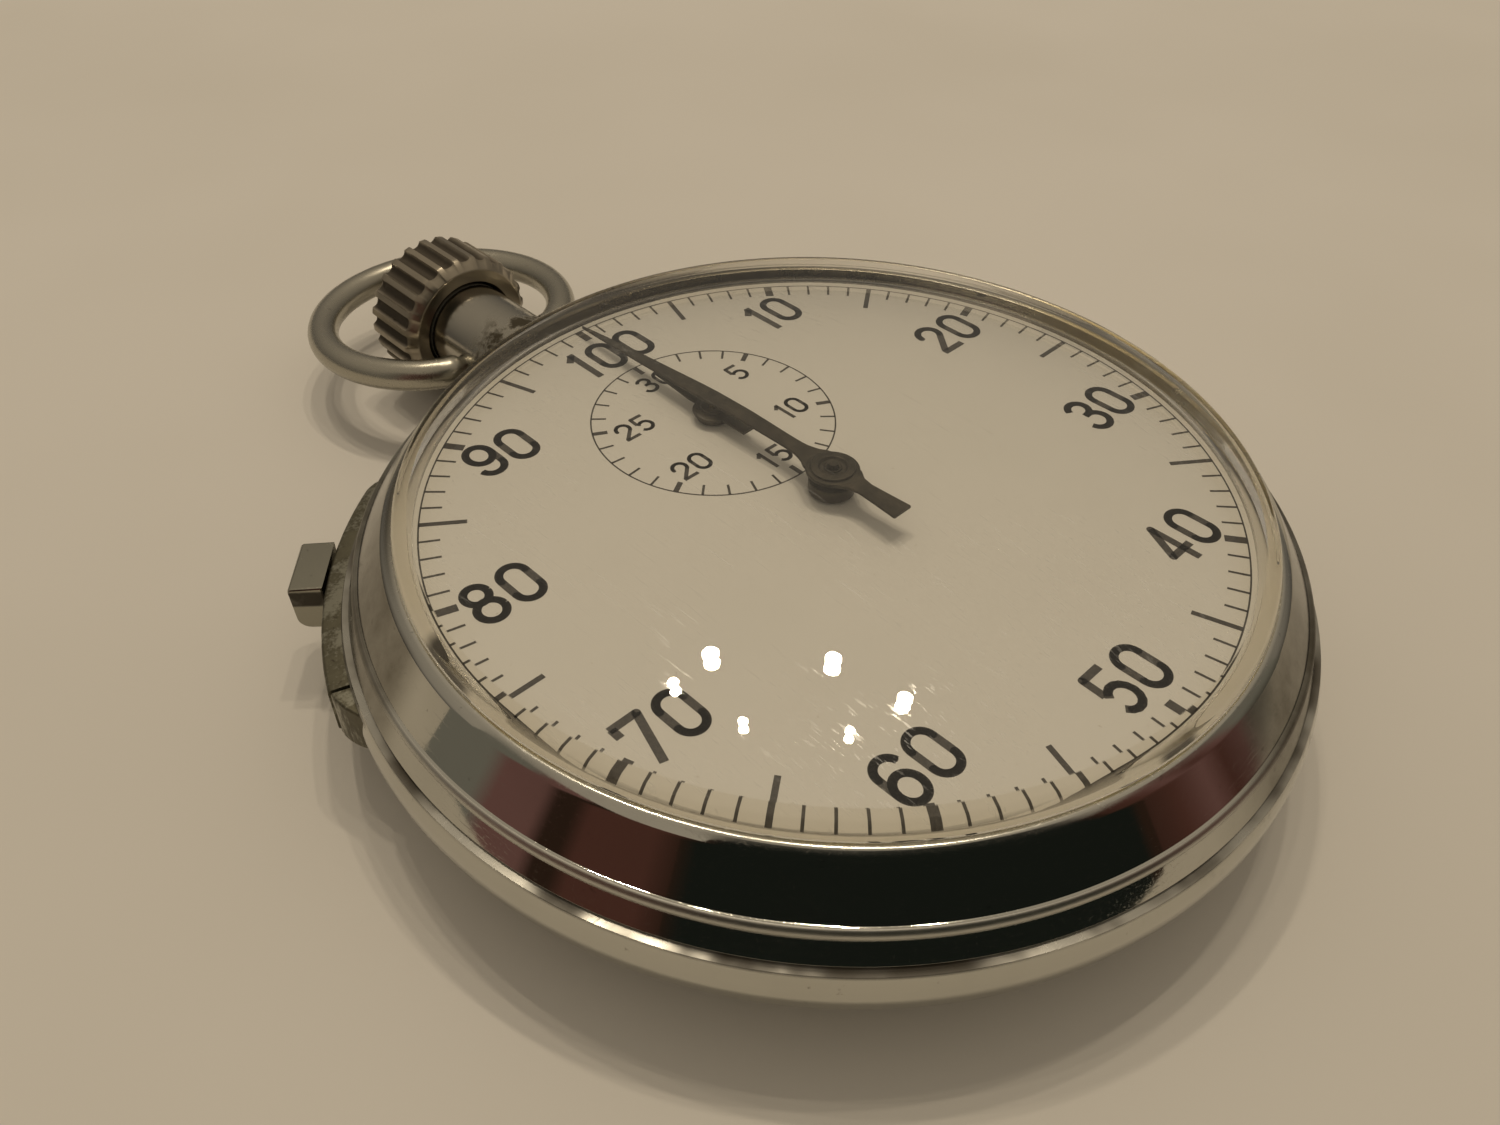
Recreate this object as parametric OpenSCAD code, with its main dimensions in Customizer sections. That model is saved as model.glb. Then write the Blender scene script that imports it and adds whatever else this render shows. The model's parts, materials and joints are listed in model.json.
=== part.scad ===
// Pocket stopwatch, hundredth-minute dial, crown winding with press reset, and a side slide.
// The origin is the centre of the flat resting face of the case back, on the case axis.
// +Z points out of the dial, +Y points to the crown, +X to the three o'clock side.

/* [Case] */
// Largest radius of the case middle
case_r = 26.2; // [25.8:0.1:26.4]
// Height of the dial face above the resting face
dial_z = 11; // [11:0.1:11.4]
// Radius of the flat resting face
foot_r = 14; // [10:0.5:16]
// Height of the seam between bezel and case middle
seam_z = 7.5; // [7.4:0.05:7.6]
// Outer radius of the raised lip that grips the crystal
lip_r = 23.3; // [23.1:0.1:23.5]
// Height of the crystal's crown above the dial
dome_h = 5; // [4.6:0.1:5.6]

/* [Pendant and bow] */
// Height of the pendant and stem axis
stem_z = 5.6; // [5.5:0.05:5.7]
// Outer radius of the pendant tube
neck_r = 3.2; // [3.1:0.05:3.3]
// Distance from the case axis to the open end of the pendant tube
neck_end = 34.7; // [34.5:0.1:34.9]
// Radius of the bow's wire centreline
bow_r = 8.5; // [8.3:0.1:9]
// Thickness of the bow's wire
bow_wire = 2.1; // [1.8:0.1:2.3]
// Distance from the case axis to the bow's pivot
bow_y = 30.6; // [29.6:0.1:31]
// Angle by which the bow droops below the stem axis at rest
bow_droop = 4; // [0:1:8]

/* [Crown] */
// Outer radius of the fluted crown
crown_r = 5; // [4.8:0.1:5.1]
// Distance from the case axis to the crown's inner face
crown_y = 34.2; // [34.1:0.05:34.3]
// Length of the crown
crown_len = 5.4; // [5:0.1:6]
// Number of flutes round the crown
flutes = 24; // [20:1:34]
// Travel of the crown when it is pressed
press = 1.2; // [0.8:0.1:1.3]

/* [Slide] */
// Angle of the thumb block from twelve o'clock, anticlockwise
knob_a = 49.4; // [48:0.2:51]
// Angle of the slide strip's upper end
strip_a0 = 31; // [30:0.5:33]
// Angle of the slide strip's lower end
strip_a1 = 69.2; // [68:0.2:69.4]
// Travel of the slide towards twelve o'clock, in degrees
slide_travel = 5; // [3:0.5:5]

/* [Dial and hands] */
// Radius of the printed hundredths track
track_r = 21.5; // [21:0.1:21.8]
// Distance from the centre to the minute counter's axis
counter_y = 9.13; // [9:0.01:9.2]
// Length of the sweep hand from its axis to its tip
sweep_len = 21; // [18:0.1:21.4]
// Length of the minute counter's hand
minute_len = 5; // [4:0.1:5.6]

/* [Movement] */
// Radius of the main plate
plate_r = 20.6; // [20.2:0.1:20.7]
// Underside of the main plate
plate_z = 7.6; // [7.55:0.05:7.65]
// Thickness of the main plate
plate_t = 1.4; // [1.2:0.1:1.4]
// Underside of the bridges
bridge_z = 2.9; // [2.85:0.05:2.95]
// Thickness of the bridges
bridge_t = 1; // [0.9:0.05:1]

/* [Hidden] */
$fn = 64;

// Running clearance of a pivot in its bore
run_fit = 0.03;

// Heights
plate_top = plate_z + plate_t;
bridge_top = bridge_z + bridge_t;
dial_t = 0.5;
sweep_hand_z = dial_z + 1.42;
minute_hand_z = dial_z + 0.5;
cam_z = 7;
cam_t = 0.4;

// Tooth counts and modules of the wheels
z_drive = 10;
z_inter = 60;
z_inter_pinion = 12;
z_minute = 60;
m_counter = 0.16;
z_fourth = 80;
z_escape_pinion = 8;
m_fourth = 0.14;
z_fourth_pinion = 8;
z_third = 60;
m_third = 0.2;
z_third_pinion = 8;
z_second = 64;
m_second = 0.2;
z_second_pinion = 10;
z_barrel = 80;
m_barrel = 0.205;
z_crown_wheel = 30;
z_ratchet = 50;
m_ratchet = 0.28;

// Centre distances of the meshed pairs
function pair(z1, z2, m) = (z1 + z2) * m / 2;
// Point at distance r and bearing a from p, with a counted from +X
function polar(p, r, a) = [p[0] + r * cos(a), p[1] + r * sin(a)];
// Bearing of q seen from p
function bearing(p, q) = atan2(q[1] - p[1], q[0] - p[0]);
function dist(p, q) = norm([q[0] - p[0], q[1] - p[1]]);
// Point at distance r1 from p and r2 from q, on the left (side = 1) or right (side = -1) of the line from p to q
function meet(p, r1, q, r2, side) =
    let (d = dist(p, q), a = (r1 * r1 - r2 * r2 + d * d) / (2 * d), h = sqrt(r1 * r1 - a * a))
    polar(polar(p, a, bearing(p, q)), h, bearing(p, q) + 90 * side);
// Rest angle of a wheel with z2 teeth so that it meshes with a wheel of z1 teeth at rest angle a1,
// where phi is the bearing of the second wheel from the first
function mesh(a1, z1, z2, phi) = phi + 180 - (a1 - phi) * z1 / z2 + 180 / z2;

// Arbor positions
centre_p = [0, 0];
minute_p = [0, counter_y];
inter_p = meet(centre_p, pair(z_drive, z_inter, m_counter), minute_p,
    pair(z_inter_pinion, z_minute, m_counter), -1);
barrel_p = [-9.6, 7];
second_p = polar(barrel_p, pair(z_second_pinion, z_barrel, m_barrel), -80);
third_p = meet(centre_p, pair(z_fourth_pinion, z_third, m_third), second_p,
    pair(z_third_pinion, z_second, m_second), 1);
escape_p = polar(centre_p, pair(z_fourth, z_escape_pinion, m_fourth), -30);
pallet_p = polar(escape_p, 3.3, -80);
balance_p = polar(pallet_p, 4.6, -80);
crown_wheel_p = [0, barrel_p[1] + sqrt(pow(pair(z_crown_wheel, z_ratchet, m_ratchet), 2) - pow(barrel_p[0], 2))];
click_p = polar(barrel_p, 9.3, 200);
hammer_p = [9, 14.5];
brake_p = polar(centre_p, 18.9, 196);
pinion_y = crown_wheel_p[1] + 3.6;
pinion_tip = 12 * 0.3 / 2 + 0.9 * 0.3;
// Top of the crown wheel's face teeth, just under the winding pinion
face_z = stem_z - pinion_tip - 0.08;
escape_r = 2.5;
balance_r = 5.5;
heart_r = 1.6;

// Rest angles of the meshed wheels
inter_a = mesh(0, z_drive, z_inter, bearing(centre_p, inter_p));
minute_a = mesh(0, z_inter_pinion, z_minute, bearing(inter_p, minute_p));
third_a = mesh(0, z_fourth_pinion, z_third, bearing(centre_p, third_p));
second_a = mesh(0, z_third_pinion, z_second, bearing(third_p, second_p));
barrel_a = mesh(0, z_second_pinion, z_barrel, bearing(second_p, barrel_p));
escape_a = mesh(0, z_fourth, z_escape_pinion, bearing(centre_p, escape_p));
ratchet_a = mesh(0, z_crown_wheel, z_ratchet, bearing(crown_wheel_p, barrel_p));

// Arbors that turn in the main plate's jewels
plate_arbors = [second_p, third_p, escape_p, pallet_p, balance_p];

// Feet of the bridges that stand on the main plate, with one screw in each
barrel_feet = [polar(centre_p, 18.3, 70), polar(centre_p, 18.4, 176), polar(centre_p, 18.5, 112)];
train_feet = [polar(centre_p, 18.3, 222), polar(centre_p, 17.6, 8)];
cock_foot = polar(centre_p, 18.2, -32);
pallet_foot = polar(pallet_p, 3.6, 20);
// Stud that holds the hairspring's outer end
stud_p = polar(balance_p, 3, bearing(balance_p, cock_foot) + 20);
case_screw_p = [for (a = [38, 100, 290]) polar(centre_p, 19.7, a)];
dial_foot_p = [for (a = [20, 205]) polar(centre_p, 18.2, a)];

// ---------------------------------------------------------------- shared shapes

// Upright disc with an optional bore
module disc(p, r, z, t, bore = 0) {
    translate([p[0], p[1], z]) difference() {
        cylinder(r = r, h = t);
        if (bore > 0) translate([0, 0, -1]) cylinder(r = bore, h = t + 2);
    }
}

// Flat bar from p to q with round ends a little wider than the bar
module bar2d(p, q, w) {
    translate(p) circle(d = w);
    translate(q) circle(d = w);
    translate(p) rotate(bearing(p, q)) translate([0, -0.47 * w]) square([dist(p, q), 0.94 * w]);
}

// Chain of flat bars through a list of points
module chain2d(points, w) {
    for (i = [0 : len(points) - 2]) bar2d(points[i], points[i + 1], w);
}

// Outline of a toothed wheel with narrow trapezoid teeth, one of them centred on +X
module teeth2d(z, m) {
    root = z * m / 2 - 1.2 * m;
    tip = z * m / 2 + 0.9 * m;
    root_w = 0.58 * m * PI / 2 / root * 180 / PI;
    tip_w = 0.2 * m * PI / 2 / tip * 180 / PI;
    polygon([for (i = [0 : z - 1], k = [[root, -root_w], [tip, -tip_w], [tip, tip_w], [root, root_w]])
        [k[0] * cos(i * 360 / z + k[1]), k[0] * sin(i * 360 / z + k[1])]]);
}

// Toothed wheel with spokes; the bore fits its arbor
module wheel(p, z, m, a, height, t, bore, spokes = 5) {
    inner = z * m / 2 - 4.2 * m;
    hub = bore + 0.7;
    translate([p[0], p[1], height]) rotate(a) linear_extrude(t) difference() {
        teeth2d(z, m);
        circle(r = bore);
        if (spokes > 0) difference() {
            circle(r = inner);
            circle(r = hub);
            for (i = [0 : spokes - 1]) rotate(i * 360 / spokes) translate([0, -0.3]) square([inner + 1, 0.6]);
        }
    }
}

// Pinion leaves
module pinion(p, z, m, a, height, t) {
    translate([p[0], p[1], height]) rotate(a) linear_extrude(t) teeth2d(z, m);
}

// Arbor with a thin pivot at each end
module arbor(p, r, z0, z1, pivot) {
    translate([p[0], p[1], z0]) cylinder(r = r, h = z1 - z0);
    translate([p[0], p[1], z0 - 0.55]) cylinder(r = pivot, h = z1 - z0 + 1.1);
}

// Ring jewel that a pivot turns in
module jewel(p, z) {
    disc(p, 0.75, z, 0.5, 0.16 + run_fit);
}

// Cheese-head screw, head down, shank up
module screw(p, z, head_r, head_t, shank_r, shank_l) {
    translate([p[0], p[1], z]) difference() {
        union() {
            cylinder(r = head_r, h = head_t);
            cylinder(r = shank_r, h = head_t + shank_l);
        }
        translate([-head_r - 1, -0.14, -1]) cube([2 * head_r + 2, 0.28, 1.22]);
    }
}

// Heart-shaped cam: two arcs that meet in a notch on the near side
module heart2d() {
    difference() {
        union() {
            circle(r = 0.75);
            for (s = [-1, 1]) translate([s * 0.55, 0.42]) circle(r = 0.9);
        }
        translate([0, -1.55]) circle(r = 0.7);
    }
}

// Part of a ring between two bearings counted anticlockwise from +Y
module ring_sector(r0, r1, a0, a1, height, t) {
    steps = 12;
    reach = r1 * 1.05;
    translate([0, 0, height]) linear_extrude(t) intersection() {
        difference() {
            circle(r = r1, $fn = 128);
            circle(r = r0, $fn = 128);
        }
        polygon(concat([[0, 0]], [for (i = [0 : steps]) let (a = 90 + a0 + (a1 - a0) * i / steps)
            [reach * cos(a), reach * sin(a)]]));
    }
}

// ---------------------------------------------------------------- case

// Quarter-ellipse flank from the widest circle down to the resting face
function flank(t) = [foot_r + (case_r - foot_r) * cos(t), 6.1 - 6.1 * sin(t)];
back_seam_t = 26;
back_seam_z = flank(back_seam_t)[1];

module case_middle() color("silver") difference() {
    seat_z = plate_top + 0.02;
    shelf_z = dial_z - dial_t - 0.02;
    rotate_extrude($fn = 128) polygon(concat(
        [[21, back_seam_z + 0.02], [21, seat_z], [18.9, seat_z], [18.9, seat_z + 0.9], [22.2, seat_z + 0.9],
            [22.2, shelf_z], [23.6, shelf_z], [23.6, seam_z], [25.55, seam_z]],
        [for (t = [-13, -9, -4, 0, 5, 11, 18]) flank(t)],
        [[flank(back_seam_t)[0], back_seam_z + 0.02]]));
    // Groove that the slide runs in, and the slot for its drive pin
    ring_sector(25.55, 30, strip_a0 - slide_travel - 1, 75.6, 3.85, 3.3);
    ring_sector(20, 30, knob_a - slide_travel - 2.5, knob_a + 2.5, 5.9, 1.1);
    // Holes for the case screws
    for (p = case_screw_p) translate([p[0], p[1], plate_top - 1]) cylinder(r = 0.52, h = 1.7);
    // Threaded seat of the pendant tube
    translate([0, 19, stem_z]) rotate([-90, 0, 0]) cylinder(r = 1.9, h = 10);
    translate([0, 25.6, stem_z]) rotate([-90, 0, 0]) cylinder(r = neck_r + 0.3, h = 4);
}

module case_back() color("silver") rotate_extrude($fn = 128) polygon(concat(
    [[0, 0], [0, 0.9], [foot_r, 0.95], [19, 1.5], [20.4, 1.85], [20.4, 4.4], [20.94, 4.4], [20.94, 2.1],
        [22, 2.3], [23.4, back_seam_z]],
    [for (i = [0 : 8]) flank(back_seam_t + (90 - back_seam_t) * i / 8)]));

module bezel() color("silver") {
    bead_p = [24.78, dial_z - 2.03];
    rotate_extrude($fn = 128) polygon(concat(
        [[22.45, dial_z + 0.05], [22.45, dial_z + 0.62], [22.6, dial_z + 0.75], [22.8, dial_z + 0.8],
            [23.05, dial_z + 0.74], [lip_r, dial_z + 0.5], [24.8, dial_z - 1.6]],
        [for (a = [60 : -20 : -60]) polar(bead_p, 0.38, a)],
        [[24.98, dial_z - 2.4], [25.5, seam_z + 0.1], [25.45, seam_z + 0.02], [23.7, seam_z + 0.02],
            [23.7, dial_z - 0.4], [22.9, dial_z - 0.4], [22.9, dial_z + 0.05]]));
}

module crystal() color("whitesmoke", 0.4) {
    shoulder_r = 22.05;
    shoulder_z = dial_z + 1.75;
    rise = dial_z + dome_h - shoulder_z;
    outer_r = (shoulder_r * shoulder_r + rise * rise) / (2 * rise);
    rotate_extrude($fn = 128) intersection() {
        difference() {
            union() {
                translate([0, dial_z + 0.1]) square([22.35, 1.2]);
                // Edge that stands over the bezel's lip
                translate([0, dial_z]) polygon([[0, 0.9], [22.65, 0.9], [22.65, 1.35], [22.5, 1.55],
                    [22.15, 1.85], [0, 8]]);
            }
            difference() {
                translate([0, dial_z - 1]) square([21.75, 12]);
                translate([0, dial_z + dome_h - 1.2 - (outer_r - 1.2)]) difference() {
                    circle(r = 3 * outer_r, $fn = 128);
                    circle(r = outer_r - 1.2, $fn = 256);
                }
            }
        }
        translate([0, dial_z + dome_h - outer_r]) circle(r = outer_r, $fn = 256);
        translate([0, dial_z + 0.1]) square([30, 10]);
    }
}

module pendant_tube() color("silver") translate([0, 0, stem_z]) rotate([-90, 0, 0]) difference() {
    union() {
        translate([0, 0, 26]) cylinder(r = neck_r, h = neck_end - 26);
        translate([0, 0, 26]) cylinder(r1 = neck_r + 0.25, r2 = neck_r, h = 1.2);
        translate([0, 0, 22]) cylinder(r = 1.85, h = 5);
    }
    translate([0, 0, 20]) cylinder(r = 1.1, h = 20);
    translate([0, 0, 27]) cylinder(r = 2.4, h = 20);
    // Cross holes for the ends of the bow
    translate([0, 0, bow_y]) rotate([0, 90, 0]) cylinder(r = 0.7, h = 20, center = true);
}

module slide_end_block() color("silver") {
    ring_sector(25.56, 26.8, 69.6, 75.3, 3.95, 3);
    ring_sector(26.7, 27, 69.6, 72.6, 3.95, 3);
}

// ---------------------------------------------------------------- slide

module slider() color("gray") {
    difference() {
        ring_sector(25.65, 27.1, strip_a0, strip_a1, 3.95, 3.05);
        ring_sector(26.5, 28, strip_a0 - 2, strip_a0 + 2.5, 3, 5);
    }
    // Drive pin through the case wall
    rotate(90 + knob_a) translate([20.1, -0.5, 6]) cube([5.8, 1, 0.9]);
}

module slider_knob() color("silver") rotate(90 + knob_a) difference() {
    translate([27.12, -1.9, 4]) cube([1.9, 3.8, 3]);
    for (s = [-1, 1]) translate([29.02, s * 1.9, 3]) rotate(45) cube([0.35, 0.35, 12], center = true);
}

// ---------------------------------------------------------------- crown and stem

module crown_profile() {
    intersection() {
        union() {
            translate([0, crown_y + 0.5]) square([crown_r, crown_len - 1]);
            translate([0, crown_y]) square([crown_r - 0.75, crown_len]);
            translate([crown_r - 0.75, crown_y + 0.5]) circle(r = 0.5, $fn = 32);
            translate([crown_r - 0.8, crown_y + crown_len - 0.8]) circle(r = 0.8, $fn = 32);
        }
        translate([0, crown_y + crown_len - 22]) circle(r = 22, $fn = 256);
    }
}

module crown() color("silver") translate([0, 0, stem_z]) rotate([-90, 0, 0]) difference() {
    rotate_extrude() crown_profile();
    // Recess over the end of the pendant tube
    translate([0, 0, crown_y - 1]) cylinder(r = 3.75, h = 3.6);
    // Flutes
    for (i = [0 : flutes - 1]) rotate(i * 360 / flutes)
        translate([crown_r + 0.12, 0, crown_y + 0.75]) cylinder(r = 0.42, h = crown_len, $fn = 16);
    // Bore for the stem
    translate([0, 0, crown_y]) cylinder(r = 0.8, h = 4.4);
}

module stem() color("gray") translate([0, 0, stem_z]) rotate([-90, 0, 0]) difference() {
    union() {
        translate([0, 0, 15.15]) cylinder(r = 0.45, h = 5);
        translate([0, 0, 19.2]) cylinder(r = 0.75, h = 19.35);
    }
    // Flats that carry the winding pinion round
    for (s = [-1, 1]) translate([s * 0.86, 0, 17.3]) cube([1, 3, 3.2], center = true);
}

module stem_sleeve() color("gray") translate([0, 0, stem_z]) rotate([-90, 0, 0]) difference() {
    union() {
        translate([0, 0, 30.6]) cylinder(r = 2.3, h = 5.9);
        translate([0, 0, 30.6]) cylinder(r = 1.4, h = 5.9);
    }
    translate([0, 0, 20]) cylinder(r = 0.75 + run_fit, h = 20);
    translate([0, 0, 20]) cylinder(r = 1.5, h = 14);
}

module crown_spring() color("gray") {
    coil_r = 1.2;
    pitch = 0.42;
    lean = atan(pitch / 4 / coil_r);
    // Half turns that lean opposite ways join into one coil
    translate([0, 27.35, stem_z]) rotate([-90, 0, 0]) for (i = [0 : 9])
        translate([0, 0, (i + 0.5) * pitch / 2]) rotate(i % 2 * 180) rotate([0, lean, 0])
            rotate_extrude(angle = 180) translate([coil_r, 0]) circle(r = i % 2 == 0 ? 0.18 : 0.17);
}

module winding_pinion() color("gray") translate([0, 0, stem_z]) rotate([-90, 0, 0]) difference() {
    union() {
        translate([0, 0, pinion_y - 0.55]) linear_extrude(1.1) teeth2d(12, 0.3);
        translate([0, 0, pinion_y + 0.5]) cylinder(r = 1.3, h = 1);
    }
    translate([0, 0, 10]) cylinder(r = 0.45 + run_fit, h = 20);
}

// ---------------------------------------------------------------- winding work and barrel

module crown_wheel() color("silver") {
    wheel(crown_wheel_p, z_crown_wheel, m_ratchet, 0, 2.15, 0.6, 0.6, 0);
    // Upright face teeth that turn the wheel from the winding pinion
    translate([crown_wheel_p[0], crown_wheel_p[1], 2.7]) for (i = [0 : z_crown_wheel - 1])
        rotate(i * 360 / z_crown_wheel) translate([3.1, -0.14, 0]) cube([0.75, 0.28, face_z - 2.7]);
}

// Screws that the crown wheel and the click turn on
module winding_screws() color("steelblue") {
    disc(crown_wheel_p, 1.3, 1.6, 0.5);
    disc(crown_wheel_p, 0.57, 2, 1.8);
    disc(click_p, 0.75, 1.85, 0.25);
    disc(click_p, 0.45, 2, 1.6);
}

module ratchet_wheel() color("silver")
    wheel(barrel_p, z_ratchet, m_ratchet, ratchet_a, 2.15, 0.6, 0.81, 0);

module ratchet_screw() color("steelblue") screw(barrel_p, 1.5, 1.6, 0.6, 0.35, 0.4);

module barrel_arbor() color("gray") difference() {
    union() {
        disc(barrel_p, 0.8, 2.15, 5.2);
        disc(barrel_p, 1.6, 4.3, 1.3);
        disc(barrel_p, 0.5, 2.15, 5.9);
    }
    translate([barrel_p[0], barrel_p[1], 1.6]) cylinder(r = 0.36, h = 0.97);
}

module barrel_drum() color("goldenrod") translate([barrel_p[0], barrel_p[1], 0]) difference() {
    union() {
        translate([0, 0, 4.35]) rotate(barrel_a) linear_extrude(0.6) teeth2d(z_barrel, m_barrel);
        translate([0, 0, 4.15]) cylinder(r = 7.6, h = 1.75);
    }
    translate([0, 0, 3]) cylinder(r = 7.1, h = 2.6);
    translate([0, 0, 3]) cylinder(r = 0.8 + run_fit, h = 5);
}

module barrel_cover() color("goldenrod") disc(barrel_p, 7.09, 4.03, 0.22, 0.8 + run_fit);

// Flat spring wound in a spiral from radius r0 to r1
module spiral(p, r0, r1, turns, w, height, t) {
    n = 16 * turns;
    function at(i, side) = let (r = r0 + (r1 - r0) * i / n + side * w / 2, a = i * 360 / 16) [r * cos(a), r * sin(a)];
    translate([p[0], p[1], height]) linear_extrude(t)
        polygon(concat([for (i = [0 : n]) at(i, 1)], [for (i = [n : -1 : 0]) at(i, -1)]));
}

module mainspring() color("steelblue") spiral(barrel_p, 2, 6.9, 9, 0.2, 4.35, 1.15);

module click() color("silver") translate([click_p[0], click_p[1], 2.15]) linear_extrude(0.6) {
    difference() {
        union() {
            circle(r = 0.9);
            rotate(bearing(click_p, barrel_p) + 46.5) bar2d([0, 0], [2.6, 0], 0.8);
        }
        circle(r = 0.45 + run_fit);
    }
}

module click_spring() color("gray") {
    translate([0, 0, 2.2]) linear_extrude(0.5)
        chain2d([[-18.6, 6.5], [-18.4, 8.2], [-17.5, 9.9], [-16.4, 11.2]], 0.3);
    disc([-16.2, 11.3], 0.6, 2.2, bridge_z - 2.2);
}

// ---------------------------------------------------------------- going train

module second_wheel() color("goldenrod") {
    wheel(second_p, z_second, m_second, second_a, 6.02, 0.25, 0.49);
    pinion(second_p, z_second_pinion, m_barrel, 0, 4.2, 0.9);
    arbor(second_p, 0.5, bridge_top + 0.12, plate_z - 0.12, 0.16);
}

module third_wheel() color("goldenrod") {
    wheel(third_p, z_third, m_third, third_a, 5.2, 0.25, 0.39);
    pinion(third_p, z_third_pinion, m_second, 0, 5.75, 0.7);
    arbor(third_p, 0.4, bridge_top + 0.12, plate_z - 0.12, 0.16);
}

module fourth_wheel() color("goldenrod") wheel(centre_p, z_fourth, m_fourth, 0, 6.5, 0.22, 0.46);

module sweep_arbor() color("gray") {
    pinion(centre_p, z_fourth_pinion, m_third, 0, 4.9, 0.8);
    disc(centre_p, 0.45, bridge_top + 0.12, 9.85 - bridge_top - 0.12);
    disc(centre_p, 0.3, bridge_top - 0.5, dial_z + 1.95 - bridge_top + 0.5);
    pinion(centre_p, z_drive, m_counter, 0, 9.78, 0.5);
}

module sweep_heart_cam() color("gray") disc_heart(centre_p);

module disc_heart(p) translate([p[0], p[1], cam_z]) linear_extrude(cam_t) difference() {
    heart2d();
    circle(r = 0.46);
}

module escape_wheel() color("silver") {
    translate([escape_p[0], escape_p[1], 6]) linear_extrude(0.22) difference() {
        union() {
            circle(r = escape_r - 0.55);
            for (i = [0 : 14]) rotate(i * 24) polygon([[escape_r - 0.7, -0.22], [escape_r, 0.1], [escape_r, 0.28],
                [escape_r - 0.7, 0.3]]);
        }
        difference() {
            circle(r = escape_r - 1.05);
            circle(r = 0.75);
            for (i = [0 : 3]) rotate(i * 90) translate([0, -0.15]) square([escape_r, 0.3]);
        }
        circle(r = 0.3);
    }
    pinion(escape_p, z_escape_pinion, m_fourth, escape_a, 6.35, 0.55);
    arbor(escape_p, 0.31, bridge_top + 0.12, plate_z - 0.12, 0.16);
}

// Direction from the pallets to the balance, along the fork
fork_a = bearing(pallet_p, balance_p);
roller_r = 1.1;
fork_l = dist(pallet_p, balance_p) - roller_r - 0.28;

module pallet_fork() color("silver") {
    translate([pallet_p[0], pallet_p[1], 6.02]) linear_extrude(0.2) difference() {
        union() {
            circle(r = 0.6);
            rotate(fork_a) bar2d([0, 0], [fork_l - 0.5, 0], 0.4);
            rotate(fork_a) translate([fork_l - 0.55, 0]) circle(r = 0.42);
            for (s = [-1, 1]) rotate(fork_a + 180 + s * 58) bar2d([0, 0], [1.15, 0], 0.42);
        }
        rotate(fork_a) translate([fork_l - 0.35, -0.17]) square([1, 0.34]);
        circle(r = 0.17);
    }
    arbor(pallet_p, 0.18, 5.92, plate_z - 0.12, 0.13);
}

module pallet_stones() color("crimson") for (s = [-1, 1])
    translate([pallet_p[0], pallet_p[1], 6.02]) rotate(fork_a + 180 + s * 58)
        translate([1.38, -0.14, 0]) cube([0.37, 0.28, 0.2]);

module balance_wheel() color("goldenrod") {
    translate([balance_p[0], balance_p[1], 4.35]) {
        linear_extrude(0.55) difference() {
            circle(r = balance_r);
            circle(r = balance_r - 0.55);
        }
        translate([0, 0, 0.15]) linear_extrude(0.25) difference() {
            union() {
                rotate(20) translate([-balance_r + 0.3, -0.35]) square([2 * balance_r - 0.6, 0.7]);
                circle(r = 1);
            }
            circle(r = 0.4);
        }
        // Balance screws round the rim
        for (i = [0 : 11]) rotate(i * 30 + 5) translate([balance_r - 0.1, 0, 0.275]) rotate([0, 90, 0])
            cylinder(r = 0.22, h = 0.5, $fn = 16);
    }
}

module balance_staff() color("gray") arbor(balance_p, 0.39, bridge_top + 0.1, plate_z - 0.12, 0.12);

module roller_table() color("gray") {
    disc(balance_p, roller_r - 0.05, 5.35, 0.3, 0.395);
    translate([balance_p[0], balance_p[1], 5.5]) rotate(fork_a + 180) translate([roller_r - 0.3, 0, 0])
        cylinder(r = 0.14, h = 0.75, $fn = 16);
}

module hairspring() color("steelblue") spiral(balance_p, 0.95, 2.6, 6, 0.05, 4.02, 0.2);

module hairspring_stud() color("gray") disc(stud_p, 0.3, bridge_z + 0.2, 1.32);

// ---------------------------------------------------------------- minute counter

module intermediate_wheel() color("goldenrod") {
    wheel(inter_p, z_inter, m_counter, inter_a, 9.9, 0.2, 0.45 + run_fit);
    difference() {
        pinion(inter_p, z_inter_pinion, m_counter, 0, 9.28, 0.64);
        translate([inter_p[0], inter_p[1], 9]) cylinder(r = 0.45 + run_fit, h = 2);
    }
}

// Fixed studs that the intermediate wheel, the reset hammer and the brake lever turn on
module pivot_studs() color("gray") {
    disc(inter_p, 0.45, 8.2, 2.1);
    disc(inter_p, 0.9, plate_top, 0.2);
    for (p = [hammer_p, brake_p]) {
        disc(p, 0.55, cam_z - 0.3, plate_z - cam_z + 1);
        disc(p, 0.9, cam_z - 0.3, 0.25);
    }
}

module minute_wheel() color("goldenrod") {
    wheel(minute_p, z_minute, m_counter, minute_a, 9.35, 0.22, 0.39);
    disc(minute_p, 0.4, plate_z - 0.65, 10.2 - plate_z + 0.65);
    disc(minute_p, 0.28, plate_z - 0.7, minute_hand_z + 0.5 - plate_z + 0.7);
}

module minute_heart_cam() color("gray") translate([minute_p[0], minute_p[1], cam_z]) linear_extrude(cam_t)
    difference() {
        heart2d();
        circle(r = 0.41);
    }

// ---------------------------------------------------------------- hands

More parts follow.
